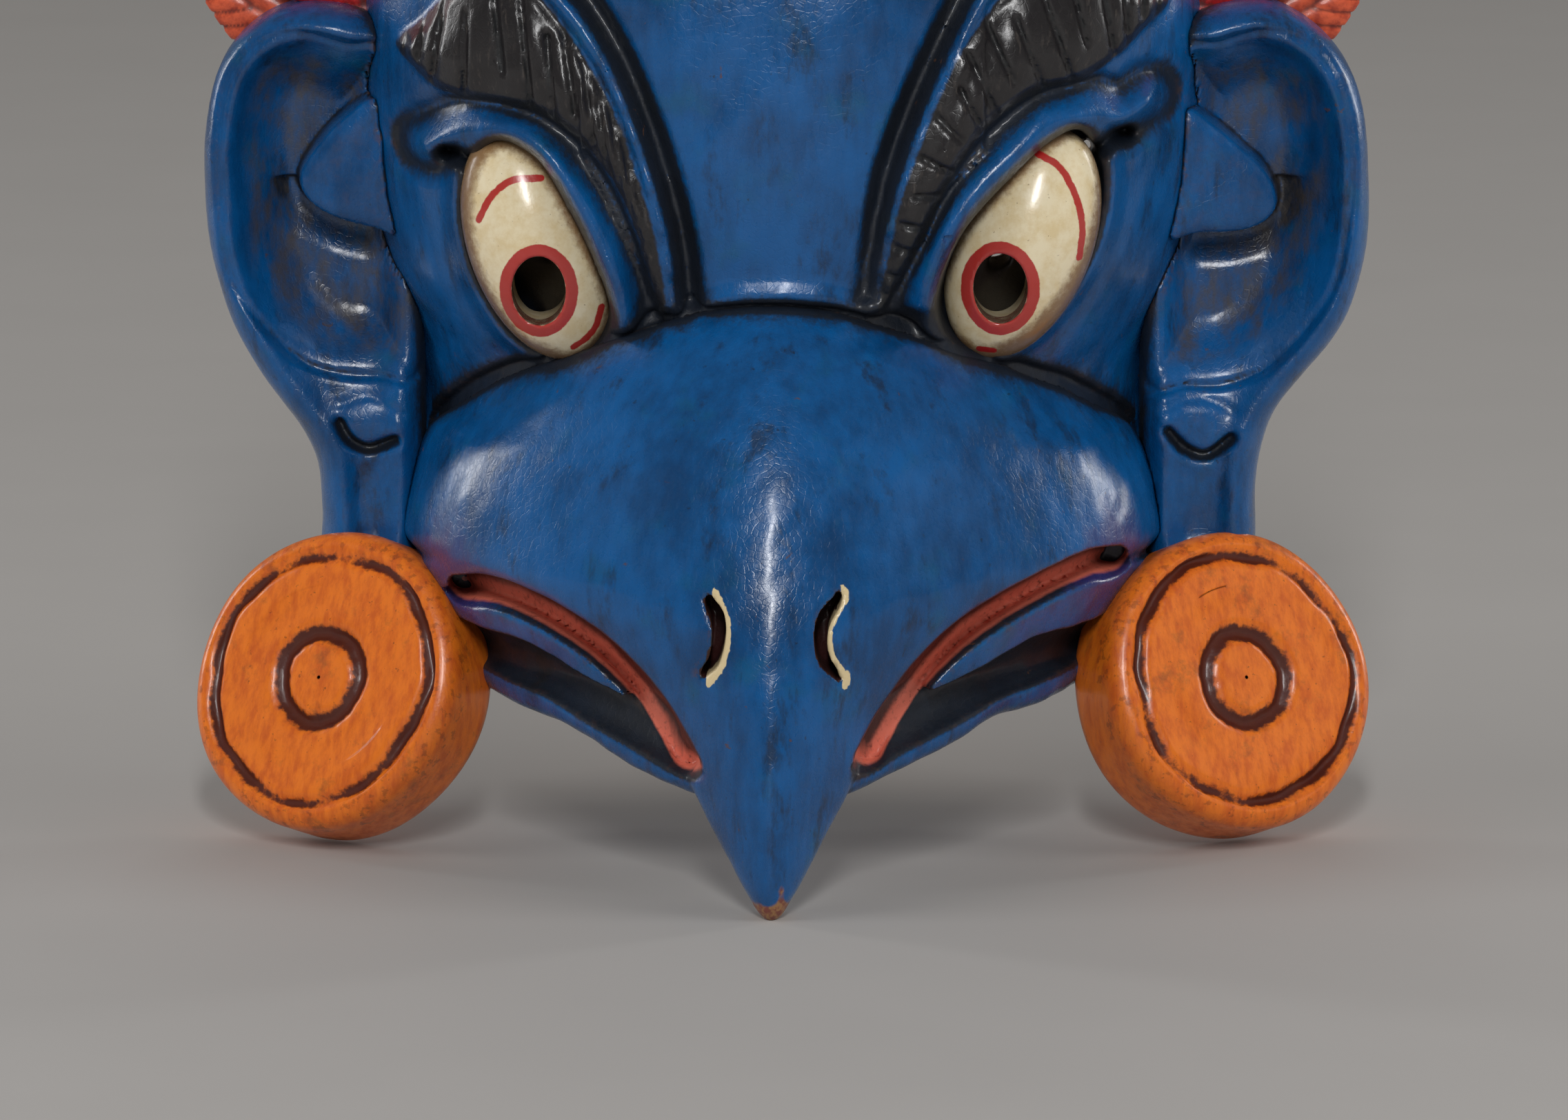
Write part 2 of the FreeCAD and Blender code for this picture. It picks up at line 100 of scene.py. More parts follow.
def smooth_line(points, closed=False, steps=5):
    """Points along a smooth line through the given ones."""
    p = np.array(points, float)
    if closed:
        p = np.vstack([p[-1], p, p[0], p[1]])
    else:
        p = np.vstack([2 * p[0] - p[1], p, 2 * p[-1] - p[-2]])
    t = np.linspace(0, 1, steps, endpoint=False)[:, None]
    runs = []
    for a, b, c, d in zip(p, p[1:], p[2:], p[3:]):
        runs.append(b + 0.5 * t * (c - a + t * (2 * a - 5 * b + 4 * c - d + t * (3 * (b - c) + d - a))))
    if not closed:
        runs.append(p[-2][None])
    return np.vstack(runs)


def ease(value, low, high):
    """0 below low, 1 above high and a smooth rise between."""
    t = np.clip((value - low) / (high - low), 0, 1)
    return t * t * (3 - 2 * t)


def join(a, b, soft):
    """Union of two fields with a soft corner."""
    h = np.clip(0.5 + 0.5 * (b - a) / soft, 0, 1)
    return b + (a - b) * h - soft * h * (1 - h)


def meet(a, b, soft):
    """Intersection of two fields with a soft corner."""
    return -join(-a, -b, soft)


def off_shape(share, *offsets):
    """Distance from a shape, from a point's offsets from its middle and their share of its size."""
    return np.sqrt(sum(offset * offset for offset in offsets)) * (1 - 1 / np.maximum(share, 1e-3))


def ridge(distance, width):
    """1 on a line and 0 away from it, rounded over the given width."""
    return np.exp(-((distance / width) ** 2))


def waves(x, y, z, size, seed):
    """Gentle unevenness, about -1 to 1, with hollows of the given size."""
    total = 0
    for turn in range(3):
        a, b, c = (math.sin(seed * 3.1 + turn * 2.4 + k * 1.7) for k in range(3))
        total = total + np.sin((a * x + b * y + c * z) * 2 * math.pi / size + seed + 5 * turn)
    return total / 3


# ---------------------------------------------------------------- fields drawn on the front

GRID_LOW = (-130.0, -8.0)
GRID_STEP = 0.5
GRID_SHAPE = (521, 541)
grid_x, grid_z = np.meshgrid(
    *(low + GRID_STEP * np.arange(count) for low, count in zip(GRID_LOW, GRID_SHAPE)), indexing="ij"
)


def line_field(points, closed=False, reach=22.0):
    """Distance on the front grid to a line; inside a closed line it is below zero."""
    line = smooth_line(points, closed)
    ends = np.roll(line, -1, 0) if closed else line[1:]
    starts = line if closed else line[:-1]
    field = np.full(GRID_SHAPE, reach, np.float32)
    first = np.maximum(((line.min(0) - reach - GRID_LOW) / GRID_STEP).astype(int), 0)
    last = np.maximum(((line.max(0) + reach - GRID_LOW) / GRID_STEP).astype(int), 1)
    part = (slice(first[0], last[0]), slice(first[1], last[1]))
    x, z = grid_x[part], grid_z[part]
    near = np.full(x.shape, reach**2)
    inside = np.zeros(x.shape, bool)
    for (ax, az), (bx, bz) in zip(starts, ends):
        dx, dz = bx - ax, bz - az
        t = np.clip(((x - ax) * dx + (z - az) * dz) / (dx * dx + dz * dz + 1e-9), 0, 1)
        near = np.minimum(near, (x - ax - t * dx) ** 2 + (z - az - t * dz) ** 2)
        if closed and az != bz:
            inside ^= ((az > z) != (bz > z)) & (x < ax + (z - az) * dx / (bz - az))
    near = np.sqrt(near)
    field[part] = np.where(inside, -near, near)
    return field


def nearest(lines, closed=False):
    """Distance on the front grid to the nearest of some lines."""
    return np.minimum.reduce([line_field(line, closed) for line in lines])


def sample(field, x, z):
    """Value of a front grid at points, between its nodes."""
    fx = np.clip((x - GRID_LOW[0]) / GRID_STEP, 0, GRID_SHAPE[0] - 1.001)
    fz = np.clip((z - GRID_LOW[1]) / GRID_STEP, 0, GRID_SHAPE[1] - 1.001)
    i, k = fx.astype(np.int32), fz.astype(np.int32)
    fx, fz = fx - i, fz - k
    flat = field.ravel()
    at = i * GRID_SHAPE[1] + k
    low = flat[at] * (1 - fz) + flat[at + 1] * fz
    high = flat[at + GRID_SHAPE[1]] * (1 - fz) + flat[at + GRID_SHAPE[1] + 1] * fz
    return low * (1 - fx) + high * fx


# ---------------------------------------------------------------- turning a field into a mesh

BLOCK = 8


def gradient(form, points, step=0.15):
    """Value and slope of a field at points."""
    x, v, z = points.T
    value = form(x, v, z)
    slope = np.stack([form(x + step, v, z), form(x, v + step, z), form(x, v, z + step)], 1)
    return value, (slope - value[:, None]) / step


def normals(form, points):
    """Outward directions of a field at points."""
    slope = gradient(form, points)[1]
    return slope / np.maximum(np.linalg.norm(slope, axis=1, keepdims=True), 1e-6)


def in_batches(form, x, v, z, size=300000):
    """A field at many points, so many at a time that they fit in memory."""
    parts = [form(x[i : i + size], v[i : i + size], z[i : i + size]) for i in range(0, len(x), size)]
    return np.concatenate(parts)


def net(form, low, high, step):
    """Surface net of a field: vertices in millimetres and four-sided faces."""
    low = low - 1.5 * step
    counts = np.ceil((high + 1.5 * step - low) / step).astype(int)
    blocks = -(-counts // BLOCK)
    counts = blocks * BLOCK
    index = np.stack(np.meshgrid(*(np.arange(n) for n in blocks), indexing="ij"), -1).reshape(-1, 3)
    centres = low + (index * BLOCK + (BLOCK - 1) / 2) * step
    coarse = in_batches(form, *centres.T)
    values = np.repeat(np.repeat(np.repeat(coarse.reshape(blocks), BLOCK, 0), BLOCK, 1), BLOCK, 2)
    values = values.astype(np.float32)
    near = index[np.abs(coarse) < 2 * BLOCK * step]
    inner = np.stack(np.meshgrid(*(np.arange(BLOCK),) * 3, indexing="ij"), -1).reshape(-1, 3)
    spots = (near[:, None] * BLOCK + inner[None]).reshape(-1, 3)
    values[tuple(spots.T)] = in_batches(form, *(low + spots * step).T)
    solid = values < 0
    corners = [(i, j, k) for i in (0, 1) for j in (0, 1) for k in (0, 1)]
    ends = [slice(0, -1), slice(1, None)]
    filled = sum(solid[ends[i], ends[j], ends[k]].astype(np.int8) for i, j, k in corners)
    cells = np.argwhere((filled > 0) & (filled < len(corners)))
    number = np.full(filled.shape, -1, np.int32)
    number[tuple(cells.T)] = np.arange(len(cells))
    at = np.stack([values[tuple((cells + c).T)] for c in corners], 1)
    total, hits = np.zeros((len(cells), 3)), np.zeros(len(cells))
    for a, ca in enumerate(corners):
        for b, cb in enumerate(corners):
            if a < b and sum(abs(p - q) for p, q in zip(ca, cb)) == 1:
                crossed = (at[:, a] < 0) != (at[:, b] < 0)
                share = np.where(crossed, at[:, a] / np.where(crossed, at[:, a] - at[:, b], 1), 0)
                spot = np.array(ca) + share[:, None] * (np.array(cb) - np.array(ca))
                total += spot * crossed[:, None]
                hits += crossed
    points = low + (cells + total / hits[:, None]) * step
    faces = []
    for axis in range(3):
        one, two = (np.eye(3, dtype=int)[(axis + k) % 3] for k in (1, 2))
        here = [slice(1, -1)] * 3
        here[axis] = slice(0, -1)
        there = list(here)
        there[axis] = slice(1, None)
        a, b = solid[tuple(here)], solid[tuple(there)]
        for crossed, outward in ((a & ~b, True), (~a & b, False)):
            spot = np.argwhere(crossed) + [0 if k == axis else 1 for k in range(3)]
            around = [spot - one - two, spot - two, spot, spot - one]
            quad = np.stack([number[tuple(c.T)] for c in around], 1)
            faces.append(quad if outward else quad[:, ::-1])
    for _ in range(2):
        value, slope = gradient(form, points)
        move = slope * (value / np.maximum((slope**2).sum(1), 0.05))[:, None]
        size = np.linalg.norm(move, axis=1, keepdims=True)
        points -= move * np.minimum(1, step / np.maximum(size, 1e-6))
    return points, np.concatenate(faces)


def write_mesh(name, points, faces):
    """Mesh from points in (x, v, z) millimetres; forward turns to -y, which flips the faces."""
    mesh = bpy.data.meshes.new(name)
    spots = np.stack([points[:, 0], BACK - points[:, 1], points[:, 2]], 1) * MM
    faces = np.asarray(faces)[:, ::-1]
    mesh.vertices.add(len(spots))
    mesh.vertices.foreach_set("co", spots.astype(np.float32).ravel())
    mesh.loops.add(faces.size)
    mesh.loops.foreach_set("vertex_index", faces.astype(np.int32).ravel())
    mesh.polygons.add(len(faces))
    mesh.polygons.foreach_set("loop_start", np.arange(0, faces.size, faces.shape[1], dtype=np.int32))
    mesh.update(calc_edges=True)
    mesh.validate()
    mesh.shade_smooth()
    return mesh


def spots_of(mesh):
    """Vertices of a mesh as (x, v, z) millimetres."""
    co = np.zeros(len(mesh.vertices) * 3, np.float32)
    mesh.vertices.foreach_get("co", co)
    co = co.reshape(-1, 3).astype(float) / MM
    co[:, 1] = BACK - co[:, 1]
    return co


def piece(name, mesh, paint, replaced):
    """Object that stands for a CAD node and rides on the mask, in its slot's paint."""
    thing = bpy.data.objects.new(name, mesh)
    bpy.context.scene.collection.objects.link(thing)
    mesh.materials.clear()
    mesh.materials.append(paint.material)
    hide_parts(replaced)
    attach(thing, "root")


MOST_TRIANGLES = 185000


def thinned(mesh):
    """The mesh with no more triangles than the limit, the flattest areas thinned first."""
    triangles = 2 * len(mesh.polygons)
    if triangles <= MOST_TRIANGLES:
        return mesh
    holder = bpy.data.objects.new("holder", mesh)
    bpy.context.scene.collection.objects.link(holder)
    thin = holder.modifiers.new("thin", "DECIMATE")
    thin.ratio = MOST_TRIANGLES / triangles
    evaluated = holder.evaluated_get(bpy.context.evaluated_depsgraph_get())
    result = bpy.data.meshes.new_from_object(evaluated)
    bpy.data.objects.remove(holder)
    result.shade_smooth()
    return result


def mark(mesh, values):
    """Named numbers at the vertices, which the paint reads."""
    for key, numbers in values.items():
        layer = mesh.attributes.new(key, "FLOAT", "POINT")
        layer.data.foreach_set("value", np.asarray(numbers, np.float32))


def carve(name, form, step, paint, areas, node, room=(1, 1)):
    """A carved piece from its field, with areas(points, normals) giving its named numbers.

    The room is how far in millimetres the field is followed below and above the node's box.
    """
    low, high = node_box(node)
    points, faces = net(form, low - room[0], high + room[1], step * FINE)
    mesh = thinned(write_mesh(name, points, faces))
    spots = spots_of(mesh)
    mark(mesh, areas(spots, normals(form, spots)))
    piece(name, mesh, paint, node)


def ring_faces(rows, columns):
    """Four-sided faces of a grid of points whose rows close into rings."""
    row, column = np.meshgrid(np.arange(rows - 1), np.arange(columns), indexing="ij")
    here, ahead = row * columns + column, row * columns + (column + 1) % columns
    return np.stack([here, ahead, ahead + columns, here + columns], -1).reshape(-1, 4)


def patina_and_shade(form, points, facing, reaches=(1.2, 3.0, 7.0, 14.0)):
    """How closed in a point is, 0 to 1, from the field in front of it; it sets the painted shade and the
    patina of the creases.
    """
    total = 0
    for reach in reaches:
        spot = points + facing * reach
        total = total + np.clip(1 - form(*spot.T) / reach, 0, 1.4)
    return np.clip(total / len(reaches), 0, 1)


def sharpness(form, points, facing, reach=1.3):
    """How much a point stands out as an edge, 0 to 1."""
    spot = points - facing * reach
    return np.clip(1 + form(*spot.T) / reach, 0, 1)


# ---------------------------------------------------------------- the head

HEAD_HALF_WIDTH = 90.0
HEAD_HALF_DEPTH = 76.0
HEAD_MID = 165.0
HEAD_TOP = 87.0
HEAD_BOTTOM = 95.0
PLAN_POWER = 2.3
SIDE_POWER = 2.5
WALL = 14.0

CHEEK_UP = 80.0
CHEEK_HALF_WIDTH = 78.0
CHEEK_RADIUS = 50.0
CHEEK_POWER = 2.6


def skull(x, v, z, wall=0.0):
    """The rounded block of the head, less its wall."""
    rise = z - HEAD_MID
    half = np.where(rise > 0, HEAD_TOP, HEAD_BOTTOM) - wall
    across = np.abs(x / (HEAD_HALF_WIDTH - wall)) ** PLAN_POWER
    plan = (across + np.abs(v / (HEAD_HALF_DEPTH - wall)) ** PLAN_POWER) ** (SIDE_POWER / PLAN_POWER)
    share = (plan + np.abs(rise / half) ** SIDE_POWER) ** (1 / SIDE_POWER)
    return off_shape(share, x, v, rise)


def cheeks(x, v, z, wall=0.0):
    """The lower face that the beak is let against, less its wall."""
    rise = z - CHEEK_UP
    radius = CHEEK_RADIUS - wall
    across = np.abs(x / (CHEEK_HALF_WIDTH - wall)) ** CHEEK_POWER
    share = (across + (np.sqrt(v * v + rise * rise) / radius) ** CHEEK_POWER) ** (1 / CHEEK_POWER)
    return off_shape(share, x, v, rise)


# outlines on the front of the face as (x, z); left and right differ because it is carved by hand
BROWS = (
    [
        (-81, 171), (-77, 166.5), (-71, 162.5), (-57, 161), (-49, 159), (-41, 153.5), (-35.6, 147),
        (-31.3, 138), (-28.5, 129), (-26.4, 122), (-24.6, 117.5), (-24.3, 123), (-25.7, 132),
        (-27.8, 141), (-30.6, 149.6), (-34, 159.6), (-39, 169.4), (-44.5, 177.5), (-51, 185),
        (-60, 189), (-68, 185), (-75, 177),
    ],
    [
        (81, 180), (75, 174.5), (69.8, 170), (62.5, 166), (52.9, 164), (44.6, 159), (38.9, 153),
        (33.9, 144.7), (29.2, 134), (24, 125), (19.8, 118.5), (20.6, 125), (22.5, 134),
        (24.2, 142.5), (28.9, 155.8), (34.7, 169.7), (40.5, 179), (48, 187.5), (58, 193),
        (68, 192), (75.5, 187),
    ],
)
BROW_RIDGES = (
    [
        (-58, 193), (-49.6, 187), (-41, 178), (-34.2, 167), (-29, 153), (-25.6, 141), (-23.6, 131),
        (-22.6, 121),
    ],
    [(55, 196), (43, 187), (34, 170.5), (27, 154), (22.4, 140), (20, 130), (18.6, 121)],
)
BRIDGE_GROOVES = (
    [(-52, 196), (-42, 186), (-35, 175), (-30, 164), (-24.3, 148), (-20.8, 134), (-19.4, 121)],
    [(47, 199), (38.5, 187), (30, 170), (23.2, 153), (19.8, 138), (17.8, 122)],
)
EYES = (
    [
        (-59.5, 153), (-54, 152), (-48.4, 147), (-39.7, 130.7), (-35.6, 119), (-37, 112.5), (-41.5, 108),
        (-46.5, 107.5), (-56, 112.4), (-63.6, 125), (-66, 137), (-64.5, 147.5),
    ],
    [
        (62, 155), (56, 153.5), (49.2, 148), (37.8, 136), (32.5, 124), (32.5, 116), (36.6, 110.5),
        (43.5, 108.6), (52, 113.5), (60, 123), (65.6, 135), (66.4, 147),
    ],
)
UPPER_LIDS = (
    [
        (-74, 150.5), (-68, 154), (-61, 157), (-53.5, 156), (-46, 149.5), (-39, 138), (-34.5, 127),
        (-32, 116),
    ],
    [(76, 160), (70, 157.5), (63, 159.5), (55, 158.5), (47, 152), (38, 143), (31.5, 132), (28.5, 121)],
)
EYE_CORNERS = ([(-63, 147), (-66.5, 149), (-70, 149.5)], [(64.5, 149.5), (68, 152), (71.5, 153)])
SEAM_LIP = [(-21, 118.5), (-12, 121.5), (-3, 122.5), (8, 121.8), (17, 119.5)]
HAIR_CUTS = 17
CUT_REACH = ((0.0, 0.72), (0.25, 1.0), (0.0, 0.9))  # how much of the brow's width a cut crosses

eye_field = nearest(EYES, True)
brow_field = nearest(BROWS, True)
ridge_field = nearest(BROW_RIDGES)
groove_field = nearest(BRIDGE_GROOVES)
lid_field = nearest(UPPER_LIDS)
corner_field = nearest(EYE_CORNERS)
lip_field = line_field(SEAM_LIP)


def hair_cuts():
    """Field of the carved cuts that cross each brow, drawn from its lower edge to its upper one."""
    near = np.full(GRID_SHAPE, FAR, np.float32)
    for brow in BROWS:
        half = len(brow) // 2
        lower = smooth_line(brow[: half + 1], steps=8)
        upper = smooth_line(brow[half:] + brow[:1], steps=8)[::-1]
        for cut in range(HAIR_CUTS):
            share = (cut + 1) / (HAIR_CUTS + 1)
            low = lower[int(share * (len(lower) - 1))]
            high = upper[int(share * (len(upper) - 1))]
            ends = [low + part * (high - low) for part in CUT_REACH[cut % len(CUT_REACH)]]
            near = np.minimum(near, line_field(ends, reach=4))
    return near


hair_field = hair_cuts()


def face_relief():
    """How far the carving stands above the smooth face in millimetres, on the front grid."""
    # the brows, their ripples and their cut hairs
    height = 3.2 * ease(-brow_field, -0.6, 2.6)
    height += 1.6 * ease(-brow_field, 1.5, 8) * ease(ridge_field, 1.0, 7.0)
    ripples = np.sin(grid_x * 0.55 + 1.2 * np.sin(grid_z * 0.13))
    height += 0.35 * ripples * ease(-brow_field, -0.6, 2.6)
    height -= 1.3 * ridge(hair_field, 0.6) * ease(-brow_field, 0, 1.5)
    # the ridge along each brow, stepped in its lower part, and the groove beside it
    steps = 0.5 + 0.5 * np.sin(grid_z * 0.72)
    low_part = 1 - ease(grid_z, 150, 172)
    height += 4.4 * ridge(ridge_field, 2.8 - 0.5 * low_part) * (1 - 0.22 * steps * low_part)
    height -= 4.6 * ridge(groove_field, 2.6)
    # the upper lid, the rim round the eye, the hollow over the lid and the eye's socket
    height += 3.4 * ridge(lid_field, 2.6) * ease(brow_field, 0, 2.5)
    height += 2.2 * ridge(np.maximum(eye_field, 0) - 2.2, 2.0)
    height -= 1.8 * ridge(lid_field - 6.0, 2.2) * ease(brow_field, -0.5, 1.5) * ease(eye_field, 3, 6)
    height -= 11.0 * ease(-eye_field, -0.4, 1.6)
    # the outer corner of the eye, the lip over the seam and the pad of the bridge
    height -= 5.5 * ridge(corner_field, 1.7)
    height += 2.2 * ridge(lip_field, 2.4)
    bridge = ease(groove_field, 2, 12) * ease(grid_z, 112, 126) * (np.abs(grid_x) < 42)
    height += 1.2 * bridge * (eye_field > 8)
    return height.astype(np.float32)


relief_field = face_relief()


def head_outer(x, v, z):
    """Smooth outside of the head, without its relief."""
    body = join(skull(x, v, z), cheeks(x, v, z), 14)
    return body - 0.35 * waves(x, v, z, 23, 1) - 0.12 * waves(x, v, z, 9, 2)


NOSE_ROOM = (40.0, 74.0)  # forward and up, of the hollow behind the beak
NOSE_ROOM_RADIUS = 30.0
NOSE_ROOM_HALF_DEPTH = 52.0


def nose_room(x, v, z):
    """The hollow behind the beak, below zero inside."""
    forward, up = NOSE_ROOM
    ahead = (v - forward) * NOSE_ROOM_RADIUS / NOSE_ROOM_HALF_DEPTH
    return np.sqrt(x * x + (z - up) ** 2 + ahead**2) - NOSE_ROOM_RADIUS


def hollow(x, v, z):
    """The room for the wearer's face, below zero inside, with marks of the gouge."""
    room = join(skull(x, v, z, WALL), cheeks(x, v, z, WALL), 10)
    room = join(room, nose_room(x, v, z), 6)
    gouge = np.abs(np.sin(x * 0.36 + 0.8 * np.sin(z * 0.045)))
    return room - 0.9 * gouge * (0.75 + 0.25 * np.sin(z * 0.21 + x * 0.1))


eye_low, eye_high = node_box("right_eye")
EYE_FORWARD = (eye_low[1] + eye_high[1]) / 2
EYE_UP = 131.0
EYE_HALF = (14.6, 13.2, 25.5)
EYE_PLACES = ((-51.0, -19.0), (50.0, 21.0))  # x of the centre, and slant in degrees
PUPILS = ((-50.6, 122.5), (45.2, 123.0))
PUPIL_HALF = (5.6, 7.5)
SIGHT_HOLE = (2.4, 2.4)  # narrower than the pupil
SIGHT_SLOPE = 0.6  # the hole rises to the back, so that the eye stays dark from the front
SOCKET_FORWARD = 60.0
TIE_HOLE = (5.0, 128.0)  # forward and up
TIE_RADIUS = 2.0


def eyeball(x, v, z, which):
    """The whole inlay of one eye, a slanted egg."""
    centre, slant = EYE_PLACES[which]
    turn = math.radians(slant)
    dx, dz = x - centre, z - EYE_UP
    across = dx * math.cos(turn) - dz * math.sin(turn)
    along = dx * math.sin(turn) + dz * math.cos(turn)
    ahead = v - EYE_FORWARD
    wide, deep, tall = EYE_HALF
    share = np.sqrt((across / wide) ** 2 + (ahead / deep) ** 2 + (along / tall) ** 2)
    return off_shape(share, across, along, ahead)


def pupil_distance(x, z, which, half=PUPIL_HALF, rise=0.0):
    """Distance outward from the rim of the pupil, or of a hole above its middle, an oval."""
    px, pz = PUPILS[which]
    dx, dz = x - px, z - pz - rise
    share = np.sqrt((dx / half[0]) ** 2 + (dz / half[1]) ** 2)
    return off_shape(share, dx, dz)


# ---------------------------------------------------------------- the beak

CENTRE_LINE = -2.5  # the carver's centre line, left of the true one
CENTRE_FADE = 80.0  # distance out at which the sides follow the true one again
BEAK_TOP = 127.0
BEAK_BACK = 16.0
LIP_UP = 41.0  # height above which the jaw's side walls flare out

BEAK_HALF = profile(
    (-2, 1.4), (0, 2.0), (3, 3.6), (6, 5.6), (12, 9.0), (20, 13.6), (30, 20.4), (35, 26), (40, 34),
    (45, 46), (50, 57), (55, 67), (60, 76), (66, 80.5), (75, 79), (87, 74.6), (94, 68.5), (105, 59.5),
    (110, 54), (114, 50), (120, 45), (128, 36),
)
BEAK_FRONT = profile(
    (-2, 117), (0, 118), (3, 119), (10, 120), (20, 120), (30, 119.5), (38, 118.8), (46, 117.5), (52, 116),
    (60, 114), (72, 110), (84, 105), (96, 98), (106, 90), (114, 82), (120, 73.5), (124, 66), (130, 52),
)
BEAK_MID = profile((0, 114.5), (10, 110), (20, 103), (30, 95), (40, 70), (50, 42), (60, 25), (130, 25))
BEAK_BEHIND = profile((0, 2.5), (10, 7), (20, 12), (30, 20), (40, 45), (50, 60), (130, 60))
BEAK_POWER = profile((0, 1.6), (20, 1.35), (45, 1.42), (60, 1.55), (90, 1.62), (110, 1.68), (130, 1.75))
UNDERSIDE = profile(
    (0, -6), (4.5, -3), (7.6, 5), (10.6, 11.5), (15, 20.5), (19, 29.5), (23.5, 38.5), (29.3, 47),
    (38, 55.5),
    (48, 60.5), (60, 62.5), (68, 61), (80, 56),
)
JAW_HALF = profile(
    (10, 72), (20, 71.5), (45, 64), (56, 58), (66, 50), (80, 38), (90, 27), (97, 19), (103, 10), (107, 1),
    (112, -16),
)
JAW_BOTTOM = profile((10, 34), (45, 33.5), (66, 31.5), (80, 27.5), (90, 23.5), (97, 21.5), (106, 19.5))
CHANNEL_UP = profile((10, 46), (45, 45), (66, 43.3), (80, 38.5), (90, 33.5), (97, 30), (106, 27.5))
CHANNEL_RADIUS = profile((10, 2), (34, 2.5), (48, 5.0), (66, 5.6), (80, 5.0), (90, 4.0), (106, 3.0))
SLITS = (
    [
        (-67.2, 57.8), (-62, 59.2), (-55, 58.8), (-46, 56), (-36.5, 50.8), (-28, 42.8), (-22.5, 34.8),
        (-19.8, 30.5),
    ],
    [(69.5, 63.5), (64, 64.2), (56, 62.4), (46, 58.8), (37, 54), (29, 47), (22.5, 38.5), (17.8, 31)],
)
SLIT_ENDS = ((-69, 60), (70, 62))
SLIT_END_FORWARD = 55
SLIT_WIDE = profile((0, 2.9), (20, 2.9), (40, 3.3), (60, 3.2), (72, 2.9))
NOSTRILS = (
    [(-14.9, 65.5), (-13.2, 61.5), (-13.0, 57.5), (-14.0, 53), (-16.2, 49.5)],
    [(11.4, 66), (8.6, 61.5), (7.8, 57.5), (8.6, 53), (11.6, 48.6)],
)


def side_of_slits():
    """Above zero on the front grid below the middle of the mouth line."""
    side = np.zeros(GRID_SHAPE)
    for line in SLITS:
        order = sorted(line)
        middle = np.interp(grid_x, [p[0] for p in order], [p[1] for p in order])
        here = np.sign(grid_x) == np.sign(order[0][0])
        side = np.where(here, middle - grid_z, side)
    return side.astype(np.float32)


slit_side = side_of_slits()
slit_field = nearest(SLITS)
nostril_field = nearest(NOSTRILS)


def beak_x(x):
    """Distance from the carver's centre line, which the sides of the mask don't follow."""
    return x - CENTRE_LINE * (1 - np.clip(np.abs(x) / CENTRE_FADE, 0, 1) ** 2)


def beak_section(x, v, z):
    """Level sections of the upper beak and hook."""
    across = np.abs(beak_x(x))
    half, front, mid = BEAK_HALF(z), BEAK_FRONT(z), BEAK_MID(z)
    power = BEAK_POWER(z)
    ahead = v - mid
    deep = np.where(ahead > 0, front - mid, BEAK_BEHIND(z))
    across = np.sqrt(across**2 + 0.5) - 0.3
    share = ((across / half) ** power + np.abs(ahead / deep) ** power) ** (1 / power)
    return off_shape(share, across, ahead)


def beak_upper(x, v, z):
    """The upper beak and hook, cut off along its underside."""
    level = np.maximum(UNDERSIDE(np.abs(beak_x(x))) - z, -0.2 - z) * 0.72
    level = np.maximum(level, z - BEAK_TOP)
    return meet(beak_section(x, v, z), level, 2.0)


def jaw_side(x, v, z):
    """Side walls of the lower jaw, which flare out up to the lip."""
    across = np.abs(beak_x(x))
    half = JAW_HALF(v)
    slope = JAW_HALF(v + 0.5) - JAW_HALF(v - 0.5)
    over = np.maximum(z - LIP_UP, 0)
    flare = 0.62 * over - 0.004 * over**2
    return (across - half - flare) / np.sqrt(1 + slope * slope)


def jaw_channel(side, v, z):
    """The hollow run under the lip, below zero inside."""
    return np.hypot(side + 0.5, z - CHANNEL_UP(v)) - CHANNEL_RADIUS(v)


def jaw(x, v, z):
    """The lower jaw, carved in one with the beak."""
    across = np.abs(beak_x(x))
    side = jaw_side(x, v, z)
    bottom = JAW_BOTTOM(v) - z
    top = z - UNDERSIDE(across) - 3
    body = meet(side, bottom, 6.0)
    return meet(meet(body, top * 0.7, 1.5), -jaw_channel(side, v, z), 1.2)


def beak_body(x, v, z):
    """Upper beak and jaw together, without the cuts."""
    return join(beak_upper(x, v, z), jaw(x, v, z), 1.5)


def slit_cut(x, v, z):
    """The carved mouth line, below zero inside; its lower edge is bevelled outward."""
    wall = np.minimum(beak_section(x, v, z), jaw_side(x, v, z))
    wide = SLIT_WIDE(np.abs(x)) + 1.5 * ease(wall, -4.5, 0.5) * ease(sample(slit_side, x, z), 0, 2)
    deep = 5.0 + 3.5 * ease(np.abs(x), 24, 38)
    return np.maximum(sample(slit_field, x, z) - wide, np.maximum(-(wall + deep), 40 - v))


def nostril_cut(x, v, z, body):
    """The two nostrils, below zero inside, widest in their middle."""
    wide = 1.2 + 0.35 * ease(z, 52, 64) - 0.8 * ease(np.abs(z - 57.5), 5.5, 9.0)
    return np.maximum(sample(nostril_field, x, z) - wide, np.maximum(-(body + 12), 90 - v))


def beak_form(x, v, z):
    """The beak block, cut to the head that it is let against."""
    body = beak_body(x, v, z) - 0.3 * waves(x, v, z, 27, 5) - 0.1 * waves(x, v, z, 8, 6)
    form = meet(body, -slit_cut(x, v, z), 0.9)
    form = meet(form, -nostril_cut(x, v, z, body), 0.5)
    outside = head_outer(x, v, z)
    form = form + 1.0 * ridge(outside - 0.5, 1.3) * (body > -3)
    form = meet(form, -nose_room(x, v, z), 1.0)
    form = meet(form, 0.15 - outside, 0.5)
    return np.maximum(form, np.maximum(BEAK_BACK - v, -0.05 - z))


